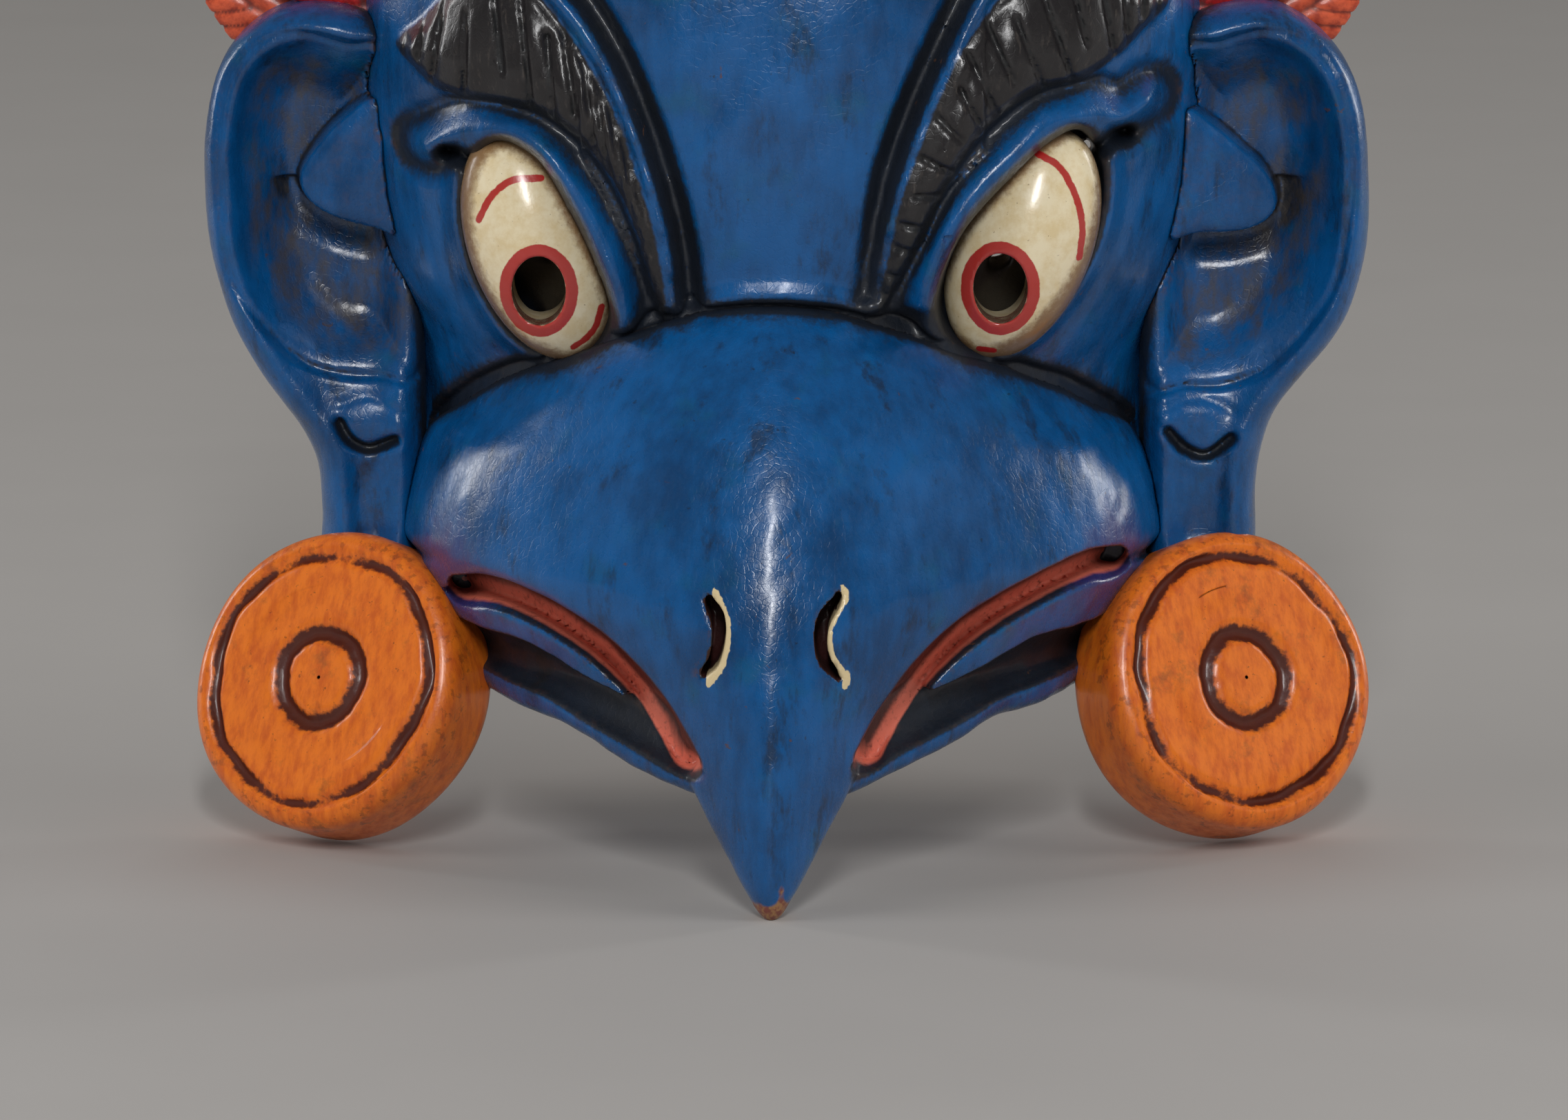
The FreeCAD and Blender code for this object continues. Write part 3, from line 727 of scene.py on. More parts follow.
def face_form(x, v, z):
    """The head shell with its relief, its hollow, the sight holes and the tie holes."""
    outer = head_outer(x, v, z)
    relief = sample(relief_field, x, z) * ease(v, 12, 30)
    seam = ridge(beak_body(x, v, z), 1.6) * 1.4 * (outer > -4)
    form = outer - relief + seam
    form = meet(form, -hollow(x, v, z), 1.5)
    for which in range(len(PUPILS)):
        hole = pupil_distance(x, z, which, SIGHT_HOLE, SIGHT_SLOPE * (SOCKET_FORWARD - v))
        form = meet(form, -np.maximum(hole, 30 - v), 0.6)
    tie = np.hypot(v - TIE_HOLE[0], z - TIE_HOLE[1]) - TIE_RADIUS
    form = meet(form, -tie, 0.5)
    return meet(form, -v, 2.0)


def front_of_mask(x, v, z):
    """Everything that shades a crease of the face: head, beak and eyes."""
    outer = np.minimum(face_form(x, v, z), beak_form(x, v, z))
    return np.minimum(outer, np.minimum(eyeball(x, v, z, 0), eyeball(x, v, z, 1)))


# ---------------------------------------------------------------- ears

EAR_OUTLINES = (
    [
        (-80, 170), (-90, 176), (-101, 177), (-111, 173), (-118.7, 164), (-122, 150), (-122.2, 136),
        (-121.3, 126), (-119, 116), (-115.7, 107), (-110.6, 98), (-106.3, 92), (-102, 86), (-98.8, 78.6),
        (-98, 68), (-97.7, 58), (-90, 55), (-78, 57), (-76, 80), (-76, 120), (-76, 150),
    ],
    [
        (80, 170), (90, 176), (101, 177.4), (111, 173), (118.7, 165), (122.6, 155), (124, 141),
        (123.8, 126),
        (120.7, 113), (116.4, 105), (110.6, 98), (104.8, 90.5), (102, 83), (100.6, 74), (99.9, 58),
        (90, 55),
        (78, 57), (76, 80), (76, 120), (76, 150),
    ],
)
EAR_INNERS = (
    [
        (-82, 166), (-92, 169.6), (-102, 172), (-111, 169), (-117, 161), (-119, 149), (-118.6, 134),
        (-116.8, 120), (-111.2, 110.5), (-103, 102), (-95.7, 98.8), (-86, 98), (-76, 100), (-74, 130),
    ],
    [
        (82, 166), (92, 170), (102, 172.4), (111.5, 169), (117, 161), (119.8, 149), (120, 134),
        (117.4, 119),
        (111.5, 109), (103.5, 100.5), (95, 96.4), (86, 96), (76, 98), (74, 130),
    ],
)
TRAGI = (
    [
        (-78, 158), (-86, 158.5), (-91.5, 155), (-97.8, 148.7), (-102.2, 141.4), (-100.8, 136),
        (-95, 132), (-86, 129.6), (-78, 129),
    ],
    [
        (78, 157), (86, 156), (91, 152.5), (96.3, 148), (102.4, 142), (104.9, 135.5), (102.3, 131),
        (96.5, 128.8), (88, 128.6), (78, 129),
    ],
)
LOBE_CREASES = (
    [(-93.8, 88.5), (-91.5, 84.8), (-87.5, 83), (-82, 85)],
    [(81.5, 87), (85.2, 83), (90, 81.6), (95.2, 85.4)],
)
LOBE_CURLS = (
    [(-94, 92.5), (-87, 94), (-80.5, 90.5)],
    [(80.5, 91.5), (87.5, 94), (95.5, 91)],
)
EAR_BACK = 9.0
EAR_FRONT = 32.0
EAR_ROUND = 7.0
EAR_INNERMOST = 40.0

edge_field = nearest(EAR_OUTLINES, True)
inner_field = nearest(EAR_INNERS, True)
tragus_field = nearest(TRAGI, True)
crease_field = nearest(LOBE_CREASES)
curl_field = nearest(LOBE_CURLS)


def ear_front():
    """Forward place of the ear's carved front, on the front grid."""
    front = np.full(GRID_SHAPE, EAR_FRONT - 2.5)
    rim = EAR_ROUND - np.clip(-edge_field, 0, EAR_ROUND)
    front += EAR_ROUND * 0.75 * (np.sqrt(1 - (rim / EAR_ROUND) ** 2) - 1)
    front += 2.5 * ridge(edge_field + 4.5, 3)
    deep = ease(-inner_field, 0.2, 15)
    front -= 1.3 * ease(-inner_field, -0.3, 0.8) + 9.5 * deep
    front -= 1.4 * ridge(inner_field, 0.8)
    lobe = ease(inner_field, 0, 5) * (1 - ease(grid_z, 88, 104))
    front += 2.2 * ridge(np.hypot(np.abs(grid_x) - 88, grid_z - 90), 8) * lobe
    front -= 3.6 * ridge(crease_field, 1.1) - 0.9 * ridge(crease_field, 3.6)
    front -= 0.5 * ridge(curl_field, 1.0)
    tragus = ease(-tragus_field, -0.5, 0.6)
    slab = EAR_FRONT - 1.5 - 0.10 * (np.abs(grid_x) - 90) - 1.2 * ridge(tragus_field, 1.6)
    front = front * (1 - tragus) + slab * tragus
    under = ease(tragus_field, 0, 1) * (1 - ease(tragus_field, 2.5, 9)) * (grid_z < 140)
    return (front - 2.5 * under * deep).astype(np.float32)


ear_front_field = ear_front()


def ear_form(x, v, z):
    """Both ear plates, cut to the head and beak that they are let against."""
    edge = sample(edge_field, x, z)
    front = v - sample(ear_front_field, x, z) - 0.3 * waves(x, v, z, 18, 8)
    plate = meet(meet(edge, front * 0.8, 2.2), EAR_BACK - v, 4.0)
    return np.maximum(plate, 0.1 - face_or_flank(x, v, z))


def face_or_flank(x, v, z):
    """Outside of the head where the ears and the spools meet it."""
    return np.minimum(head_outer(x, v, z), np.where(v > BEAK_BACK, beak_body(x, v, z), FAR))


def ear_side(which):
    """The ear field of one side only, so that each ear is its own piece."""
    sign = SIGNS[which]
    return lambda x, v, z: np.maximum(ear_form(x, v, z), EAR_INNERMOST - sign * x)


# ---------------------------------------------------------------- ear spools

SPOOL_RADIUS = 32.4
CAD_SPOOL_RADIUS = 30.5  # the disc is lifted by the difference, so that it still stands on the floor
SPOOL_HALF = 10.0  # half its thickness
SPOOL_EDGE = 4.5
SPOOL_TURN = (31.0, 20.0)  # degrees that the face turns outward and upward
RING_RADII = (26.6, 9.6)
ROUND_STEPS = 300


def spool_axes(sign):
    """The spool's own right, forward and up directions as (x, v, z)."""
    yaw, pitch = (math.radians(a) for a in SPOOL_TURN)
    level = math.cos(pitch)
    forward = np.array([sign * math.sin(yaw) * level, math.cos(yaw) * level, math.sin(pitch)])
    across = np.cross(forward, [0, 0, 1.0])
    across /= np.linalg.norm(across)
    return across, forward, np.cross(across, forward)


def spool_outline():
    """Radius and height of the turned outline, from the middle of the face to that of the back."""
    flat, straight = SPOOL_RADIUS - SPOOL_EDGE, SPOOL_HALF - SPOOL_EDGE
    bend = np.linspace(0, math.pi / 2, 9)[1:]
    face = np.concatenate([np.linspace(0.4, 22, 60), np.linspace(22.2, flat, 24)])
    under = np.linspace(flat - 1.5, 0.4, 14)
    side = np.linspace(straight - 1, -straight, 12)
    radius = [face, flat + SPOOL_EDGE * np.sin(bend), np.full(len(side), SPOOL_RADIUS)]
    radius += [flat + SPOOL_EDGE * np.cos(bend), under]
    height = [np.full(len(face), SPOOL_HALF), straight + SPOOL_EDGE * np.cos(bend), side]
    height += [-straight - SPOOL_EDGE * np.sin(bend), np.full(len(under), -SPOOL_HALF)]
    return np.concatenate(radius), np.concatenate(height)


def spool(which):
    """Turned disc with two hand-cut rings: its points, its faces and its marks."""
    radius, height = spool_outline()
    around = np.linspace(0, 2 * math.pi, ROUND_STEPS + 1)[:-1]
    r, a = np.meshgrid(radius, around, indexing="ij")
    h = np.repeat(height[:, None], ROUND_STEPS, 1)
    on_face = h > SPOOL_HALF - 0.01
    wander = 0.5 * np.sin(3 * a + 2 * which) + 0.3 * np.sin(7 * a + 1) + 0.15 * np.sin(17 * a + which)
    strength = 0.75 + 0.25 * np.sin(2 * a + 1.3 + 2 * which) + 0.15 * np.sin(11 * a)
    outer_ring = ridge(r - RING_RADII[0] - wander, 1.35) * strength
    inner_ring = ridge(r - RING_RADII[1] - 0.35 * wander, 1.8)
    cut = np.clip(outer_ring + inner_ring, 0, 1.2)
    h = h - on_face * (1.9 * cut + 0.35 * ease(r, RING_RADII[0] - 2, SPOOL_RADIUS - 3))
    h = h + on_face * 0.25 * np.sin(r * 0.5 + which) * np.sin(a * 2 + which) * ease(r, 1, 10)
    uneven = 0.994 + 0.010 * np.sin(2 * a + which) + 0.006 * np.sin(5 * a + 2)
    r = r * np.where(r > 20, uneven, 1)
    across, forward, up = spool_axes(SIGNS[which])
    low, high = node_box(("left_ear_spool", "right_ear_spool")[which])
    centre = (low + high) / 2 + [0, 0, SPOOL_RADIUS - CAD_SPOOL_RADIUS]
    cosine, sine = (r * np.cos(a))[..., None], (r * np.sin(a))[..., None]
    points = centre + cosine * across + sine * up + h[..., None] * forward
    marks = {
        "ring": (np.clip(cut, 0, 1) * on_face).ravel(),
        "edge": (ease(r, 25, 30) * (h > 2)).ravel(),
    }
    return points.reshape(-1, 3), ring_faces(*r.shape), marks


# ---------------------------------------------------------------- crest plumes

# x and z of each root on the right side, and how far the plume leans out, from the top one down
PLUME_ROOTS = (
    (0, 251, 0.0), (26, 247, 0.22), (49, 236, 0.44), (67, 220, 0.62), (80, 200, 0.78), (87, 179, 0.86),
    (88, 158, 1.0),
)
PLUME_WIDTH = profile((-0.1, 0.70), (0.25, 0.97), (0.55, 0.86), (0.85, 0.46), (1.0, 0.08))
PLUME_DEPTH = profile((-0.1, 0.85), (0.25, 1.0), (0.55, 0.80), (0.85, 0.48), (1.0, 0.12))
PLUME_BEND = profile((-0.1, 0), (0.25, 0.01), (0.55, 0.05), (0.85, 0.13), (1.0, 0.19))
PLUME_HALF = (14.0, 4.4)
PLUME_LENGTHS = (66.0, 52.0)  # of the back row and of the front row, which take turns
PLUME_FORWARD = (7.0, 16.5)
SHORTENING = 0.055  # of the length, from each plume to the next one down
MIDRIB = 1.8  # distance of the two cuts beside the midrib from its middle
BARB_CUT = 0.45


def plume(index, sign):
    """One flame-shaped plume, with a midrib and slanting barbs cut into both faces."""
    x, z, lean = PLUME_ROOTS[index]
    along = np.array([lean, 0, 1]) / math.hypot(lean, 1)
    outward = np.array([along[2], 0, -along[0]])
    length = PLUME_LENGTHS[index % 2] * (1 - SHORTENING * index)
    share = np.linspace(-0.1, 1.0, 90)
    turn = np.linspace(0, 2 * math.pi, 65)[:-1]
    s, a = np.meshgrid(share, turn, indexing="ij")
    wide = np.cos(a) * PLUME_WIDTH(s) * PLUME_HALF[0]
    deep = np.sign(np.sin(a)) * np.abs(np.sin(a)) ** 0.8 * PLUME_DEPTH(s) * PLUME_HALF[1]
    barb = np.clip(np.sin((s * length - np.abs(wide) * 0.9) * 1.25), 0, 1)
    cut = barb**2 * ease(np.abs(wide), 1.5, 3.5)
    rib = ridge(np.abs(wide) - MIDRIB, 0.8)
    deep -= np.sign(np.sin(a)) * (BARB_CUT * cut + 0.8 * rib) * np.abs(np.sin(a)) ** 0.5
    wide -= np.sign(wide) * 0.5 * barb**3 * ease(np.abs(np.cos(a)), 0.6, 1)
    rib = ridge(np.abs(wide) - MIDRIB, 0.8)
    bend = PLUME_BEND(s) * length * min(index, 1)
    points = np.array([x, PLUME_FORWARD[index % 2], z]) + s[..., None] * length * along
    points += (bend + wide)[..., None] * outward
    points[..., 1] += deep
    points = points.reshape(-1, 3)
    points[:, 0] *= sign
    faces = ring_faces(*s.shape)[:, [0, 3, 2, 1]]
    return points, faces if sign > 0 else faces[:, ::-1], {"groove": np.clip(cut + rib, 0, 1).ravel()}


# ---------------------------------------------------------------- paint


def colour(red, green, blue):
    """Scene colour from 0 to 255 display values."""
    shares = [c / 255 for c in (red, green, blue)]
    return tuple(((c + 0.055) / 1.055) ** 2.4 if c > 0.04 else c / 12.92 for c in shares) + (1,)


BLUE = colour(0, 88, 152)
DEEP_BLUE = colour(0, 56, 102)
TEAL = colour(4, 88, 108)
# dark patina, also laid as painted shade in the creases
PATINA_AND_SHADE = colour(20, 22, 25)
SOOT = colour(30, 28, 30)
SOOT_LIGHT = colour(72, 66, 62)
PURPLE = colour(52, 40, 100)
SALMON = colour(220, 112, 90)
MOUTH_DARK = colour(58, 26, 24)
CREAM = colour(226, 205, 160)
CREAM_LIGHT = colour(238, 224, 190)
GLAZE = colour(120, 78, 36)
RING_RED = colour(178, 14, 24)
# black of the pupils, also used as painted shade on the socket floor seen through them
PUPIL_BLACK_AND_HOLE_SHADE = colour(14, 11, 12)
ORANGE = colour(236, 122, 30)
ORANGE_DEEP = colour(206, 92, 24)
MAROON = colour(66, 24, 22)
PLUME_RED = colour(196, 28, 26)
PLUME_RED_DEEP = colour(130, 16, 20)
PLUME_ORANGE = colour(224, 96, 58)
PLUME_ORANGE_DEEP = colour(170, 58, 36)
WOOD = colour(150, 108, 68)
WOOD_DARK = colour(92, 60, 38)
RAW_TIP = colour(120, 62, 50)


class Paint:
    """Builds the material of one slot; every method but the last gives back an output socket."""

    def __init__(self, slot, coat=0.0):
        self.slot = slot
        self.material = bpy.data.materials.new(slot)
        self.material.use_nodes = True
        self.tree = self.material.node_tree
        self.shader = self.tree.nodes["Principled BSDF"]
        self.shader.inputs["Coat Weight"].default_value = coat
        self.shader.inputs["Coat Roughness"].default_value = 0.18
        self.spot = self.tree.nodes.new("ShaderNodeTexCoord").outputs["Object"]

    def link(self, source, target):
        """Joins two sockets, or sets the second one to a number or a colour."""
        if isinstance(source, (int, float, tuple)):
            target.default_value = source
        else:
            self.tree.links.new(source, target)

    def node(self, kind, output, inputs, **settings):
        """One output of a new node, with its inputs set or joined."""
        node = self.tree.nodes.new(kind)
        for key, value in settings.items():
            setattr(node, key, value)
        for key, value in inputs.items():
            self.link(value, node.inputs[key])
        return node.outputs[output]

    def noise(self, size, detail=4.0, roughness=0.55, stretch=(1, 1, 1), turn=0.0):
        """Noise whose blotches are about size millimetres across."""
        spot = self.node("ShaderNodeMapping", "Vector", {"Vector": self.spot, "Scale": stretch})
        shape = {"Detail": detail, "Roughness": roughness, "Distortion": turn}
        return self.node("ShaderNodeTexNoise", "Fac", {"Vector": spot, "Scale": 1 / (size * MM), **shape})

    def wobble(self, amount, *noise):
        """Noise about zero, which makes the edge of an area uneven."""
        return self.times(self.sum(self.noise(*noise), -0.5), amount)

    def patches(self, strength, edges, *noise, **kinds):
        """Share of a colour that lies in patches, where the noise is past the edges."""
        return self.times(self.band(self.noise(*noise, **kinds), *edges), strength)

    def cracks(self, size):
        """Distance to the edges of a cell pattern, near 0 on a crack."""
        cells = {"Vector": self.spot, "Scale": 1 / (size * MM)}
        return self.node("ShaderNodeTexVoronoi", "Distance", cells, feature="DISTANCE_TO_EDGE")

    def attribute(self, name):
        return self.node("ShaderNodeAttribute", "Fac", {}, attribute_name=name)

    def sum(self, *terms):
        return self.chain("ADD", terms)

    def times(self, *terms):
        return self.chain("MULTIPLY", terms)

    def chain(self, operation, terms):
        result = terms[0]
        for term in terms[1:]:
            result = self.node("ShaderNodeMath", 0, {0: result, 1: term}, operation=operation)
        return result

    def band(self, value, low, high, bottom=0.0, top=1.0):
        """Maps low..high to bottom..top, smoothly and without going past."""
        ends = {"Value": value, "From Min": low, "From Max": high, "To Min": bottom, "To Max": top}
        return self.node("ShaderNodeMapRange", "Result", ends, interpolation_type="SMOOTHSTEP")

    def mix(self, share, a, b):
        return self.node("ShaderNodeMix", "Result", {"Factor": share, "A": a, "B": b}, data_type="RGBA")

    def finish(self, tint, roughness, heights=()):
        """Heights are (height, millimetres) pairs for the bump."""
        self.link(tint, self.shader.inputs["Base Color"])
        self.link(roughness, self.shader.inputs["Roughness"])
        if heights:
            total = self.sum(*(self.times(height, size) for height, size in heights))
            bump = self.node("ShaderNodeBump", "Normal", {"Distance": MM, "Strength": 1.0, "Height": total})
            self.link(bump, self.shader.inputs["Normal"])
        return self


def enamel(paint):
    """Blue enamel, brushed on and rubbed with dark patina, with painted shade darkening the creases."""
    broad = paint.noise(26, 3, 0.6)
    brushed = paint.noise(3.2, 5, 0.62, stretch=(1.0, 1.0, 0.28))
    tint = paint.mix(paint.band(paint.sum(broad, paint.times(brushed, 0.5)), 0.45, 1.0), DEEP_BLUE, BLUE)
    tint = paint.mix(paint.patches(0.35, (0.55, 0.75), 14, 4, 0.6), tint, TEAL)
    fine = paint.noise(1.1, 4, 0.7, stretch=(1, 1, 0.5))
    shade = paint.sum(paint.attribute("patina_and_shade"), paint.times(paint.sum(fine, -0.5), 0.7))
    shade = paint.sum(shade, paint.times(paint.sum(broad, -0.5), 0.45))
    # painted shade and patina: darker where a point is closed in
    tint = paint.mix(paint.times(paint.band(shade, 0.16, 0.68), 0.95), tint, PATINA_AND_SHADE)
    smears = paint.patches(0.65, (0.54, 0.70), 9, 6, 0.72, stretch=(1, 1, 0.35))
    tint = paint.mix(smears, tint, PATINA_AND_SHADE)
    chips = paint.patches(0.7, (0.69, 0.72), 5, 4, 0.65, turn=0.6)
    tint = paint.mix(chips, tint, WOOD_DARK)
    tint = paint.mix(paint.patches(0.55, (0.70, 0.76), 1.6, 3, 0.5), tint, PATINA_AND_SHADE)
    worn = paint.times(paint.attribute("edge"), paint.patches(0.45, (0.50, 0.62), 2.4, 4, 0.6))
    tint = paint.mix(worn, tint, WOOD_DARK)
    rough = paint.band(paint.sum(fine, paint.times(broad, 0.5)), 0.5, 1.1, 0.22, 0.42)
    rough = paint.sum(rough, paint.times(paint.band(shade, 0.2, 0.8), 0.25))
    cracks = paint.band(paint.cracks(1.5), 0, 0.12)
    return tint, rough, [(brushed, 0.10), (fine, 0.05), (cracks, 0.02), (paint.noise(7, 2), 0.25)]


def bare_inside(paint, tint, rough, bumps):
    """Unpainted gouged wood wherever the attribute says so."""
    bare = paint.band(paint.attribute("bare"), 0.3, 0.7)
    grain = paint.noise(2.6, 5, 0.55, stretch=(1, 1, 0.08))
    stain = paint.band(paint.noise(22, 3, 0.6), 0.35, 0.7, 0.0, 0.45)
    wood = paint.mix(paint.band(grain, 0.40, 0.68, 0.0, 0.7), WOOD, WOOD_DARK)
    tint = paint.mix(bare, tint, paint.mix(stain, wood, WOOD_DARK))
    return tint, paint.sum(rough, paint.times(bare, 0.35)), [*bumps, (paint.times(grain, bare), 0.3)]


def head_paint():
    paint = Paint("head_paint", coat=0.35)
    tint, rough, bumps = enamel(paint)
    wobble = paint.wobble(1.2, 2.0, 3)
    brow = paint.band(paint.sum(paint.attribute("brow"), wobble), -0.3, 0.5)
    strands = paint.noise(1.3, 4, 0.6, stretch=(1, 1, 0.3))
    soot = paint.mix(paint.band(strands, 0.56, 0.80), SOOT, SOOT_LIGHT)
    # painted shade and patina: the brow's black goes darker in its creases
    soot = paint.mix(paint.band(paint.attribute("patina_and_shade"), 0.25, 0.7), soot, PATINA_AND_SHADE)
    tint = paint.mix(brow, tint, soot)
    rough = paint.sum(rough, paint.times(brow, 0.04))
    tint, rough, bumps = bare_inside(paint, tint, rough, bumps)
    # painted shade: black on the socket floor behind the pupil, where the hole would be in shade
    tint = paint.mix(paint.attribute("dark"), tint, PUPIL_BLACK_AND_HOLE_SHADE)
    return paint.finish(tint, rough, bumps)


def beak_paint():
    paint = Paint("beak_paint", coat=0.35)
    tint, rough, bumps = enamel(paint)
    wobble = paint.wobble(0.8, 3.0, 4)
    spray = paint.times(paint.band(paint.sum(paint.attribute("purple"), wobble), 0.25, 0.9), 0.75)
    tint = paint.mix(spray, tint, PURPLE)
    lip = paint.band(paint.sum(paint.attribute("mouth"), paint.times(wobble, 0.5)), -0.25, 0.35)
    pink = paint.mix(paint.band(paint.noise(1.5, 5, 0.65), 0.50, 0.85), SALMON, MOUTH_DARK)
    pink = paint.mix(paint.attribute("mouth_shade"), pink, MOUTH_DARK)
    tint = paint.mix(lip, tint, pink)
    tint = paint.mix(paint.band(paint.attribute("nostril"), 0.3, 0.6), tint, MOUTH_DARK)
    chipped = paint.band(paint.sum(paint.attribute("cream"), paint.times(wobble, 0.4)), 0.35, 0.6)
    tint = paint.mix(chipped, tint, CREAM)
    tip = paint.band(paint.sum(paint.attribute("tip"), wobble), 0.35, 0.7)
    tint = paint.mix(tip, tint, paint.mix(paint.band(paint.noise(1.0, 3), 0.4, 0.6), RAW_TIP, WOOD))
    rough = paint.sum(rough, paint.times(lip, 0.12), paint.times(tip, 0.3))
    tint, rough, bumps = bare_inside(paint, tint, rough, bumps)
    return paint.finish(tint, rough, bumps)


def ear_paint():
    paint = Paint("ear_paint", coat=0.3)
    tint, rough, bumps = enamel(paint)
    grey = paint.patches(0.85, (0.38, 0.7), 6, 5, 0.7, stretch=(1, 1, 0.5))
    grey = paint.times(paint.band(paint.attribute("concha"), 0.1, 0.9), grey)
    tint = paint.mix(grey, tint, SOOT_LIGHT)
    return paint.finish(tint, rough, bumps)


def spool_paint():
    paint = Paint("spool_paint", coat=0.25)
    grain = paint.noise(3.0, 5, 0.65, stretch=(1.4, 1.4, 0.35))
    tint = paint.mix(paint.band(grain, 0.35, 0.72), ORANGE, ORANGE_DEEP)
    tint = paint.mix(paint.patches(0.5, (0.54, 0.74), 9, 5, 0.7), tint, WOOD_DARK)
    tint = paint.mix(paint.patches(0.5, (0.66, 0.73), 1.3, 3, 0.6), tint, MAROON)
    wobble = paint.wobble(0.9, 1.6, 4, 0.6)
    ring = paint.band(paint.sum(paint.attribute("ring"), wobble), 0.22, 0.55)
    tint = paint.mix(paint.times(ring, 0.95), tint, MAROON)
    worn = paint.times(paint.attribute("edge"), paint.patches(0.4, (0.55, 0.65), 2.0, 4, 0.6))
    tint = paint.mix(worn, tint, MAROON)
    rough = paint.band(grain, 0.3, 0.8, 0.30, 0.48)
    bumps = [(grain, 0.14), (paint.noise(0.8, 3), 0.05), (paint.noise(8, 2), 0.3)]
    return paint.finish(tint, rough, bumps)


def eye_paint():
    paint = Paint("eye_paint", coat=0.5)
    blotch = paint.noise(3.5, 5, 0.65)
    tint = paint.mix(paint.band(blotch, 0.35, 0.7), CREAM_LIGHT, CREAM)
    glaze = paint.sum(paint.attribute("rim"), paint.wobble(0.9, 1.8, 5, 0.7))
    tint = paint.mix(paint.times(paint.band(glaze, 0.25, 0.95), 0.85), tint, GLAZE)
    tint = paint.mix(paint.patches(0.5, (0.68, 0.74), 0.9, 3, 0.6), tint, GLAZE)
    red = paint.band(paint.sum(paint.attribute("red"), paint.wobble(0.5, 1.4, 3)), -0.12, 0.12)
    tint = paint.mix(paint.times(red, 0.95), tint, RING_RED)
    tint = paint.mix(paint.band(paint.attribute("pupil"), -0.15, 0.15), tint, PUPIL_BLACK_AND_HOLE_SHADE)
    return paint.finish(tint, 0.24, [(blotch, 0.06), (paint.noise(0.7, 3), 0.03)])


def plume_paint(slot, light, deep):
    paint = Paint(slot, coat=0.2)
    grain = paint.noise(2.5, 5, 0.6)
    tint = paint.mix(paint.band(grain, 0.35, 0.7), light, deep)
    dirt = paint.sum(paint.times(paint.attribute("groove"), 0.9), paint.wobble(0.8, 5, 5, 0.7))
    tint = paint.mix(paint.times(paint.band(dirt, 0.2, 1.0), 0.75), tint, MAROON)
    return paint.finish(tint, 0.42, [(grain, 0.12)])


def bare_wood():
    paint = Paint("bare_wood")
    grain = paint.noise(1.6, 5, 0.6, stretch=(1, 1, 0.1))
    tint = paint.mix(paint.band(grain, 0.35, 0.7), WOOD, WOOD_DARK)
    return paint.finish(tint, 0.7, [(grain, 0.15)])


# ---------------------------------------------------------------- painted areas


def head_areas(points, facing):
    x, v, z = points.T
    front = v > 20
    inside = (1 - ease(hollow(x, v, z), 0.6, 1.6)) * (head_outer(x, v, z) < -3)
    # painted shade and patina: darker where the face is closed in, along the seam with the beak, in the
    # grooves beside the brows, over the lids, at the eye corners and round the eyes
    closed = patina_and_shade(front_of_mask, points, facing)
    near_beak = np.maximum(beak_body(x, v, z) - 0.5, 0)
    seam = (0.75 * ridge(near_beak, 2.4) + 0.3 * ridge(near_beak, 9)) * front
    socket = [ease(-pupil_distance(x, z, which), -2.0, -0.5) for which in range(len(PUPILS))]
    valley = 0.5 * ridge(sample(groove_field, x, z), 4.0)
    valley += 0.45 * ridge(sample(lid_field, x, z) - 5.5, 2.5)
    valley += 0.35 * ridge(sample(corner_field, x, z), 5.0)
    valley += 0.3 * ridge(sample(eye_field, x, z) - 0.5, 2)
    return {
        # painted shade on the socket floor seen through each pupil
        "dark": np.maximum(*socket) * (v > 45) * (hollow(x, v, z) > 0.6),
        "patina_and_shade": np.clip(closed + seam + valley * front, 0, 1),
        "edge": sharpness(face_form, points, facing),
        "brow": np.where(front, -sample(brow_field, x, z), -5),
        "bare": np.maximum(inside, ease(-v, -1.5, -0.3)),
    }


def nostril_middle(z, x):
    """x of the middle line of the nostril on the same side."""
    lines = [sorted((up, across) for across, up in line) for line in NOSTRILS]
    left, right = (np.interp(z, *np.transpose(line)) for line in lines)
    return np.where(x < -2, left, right)


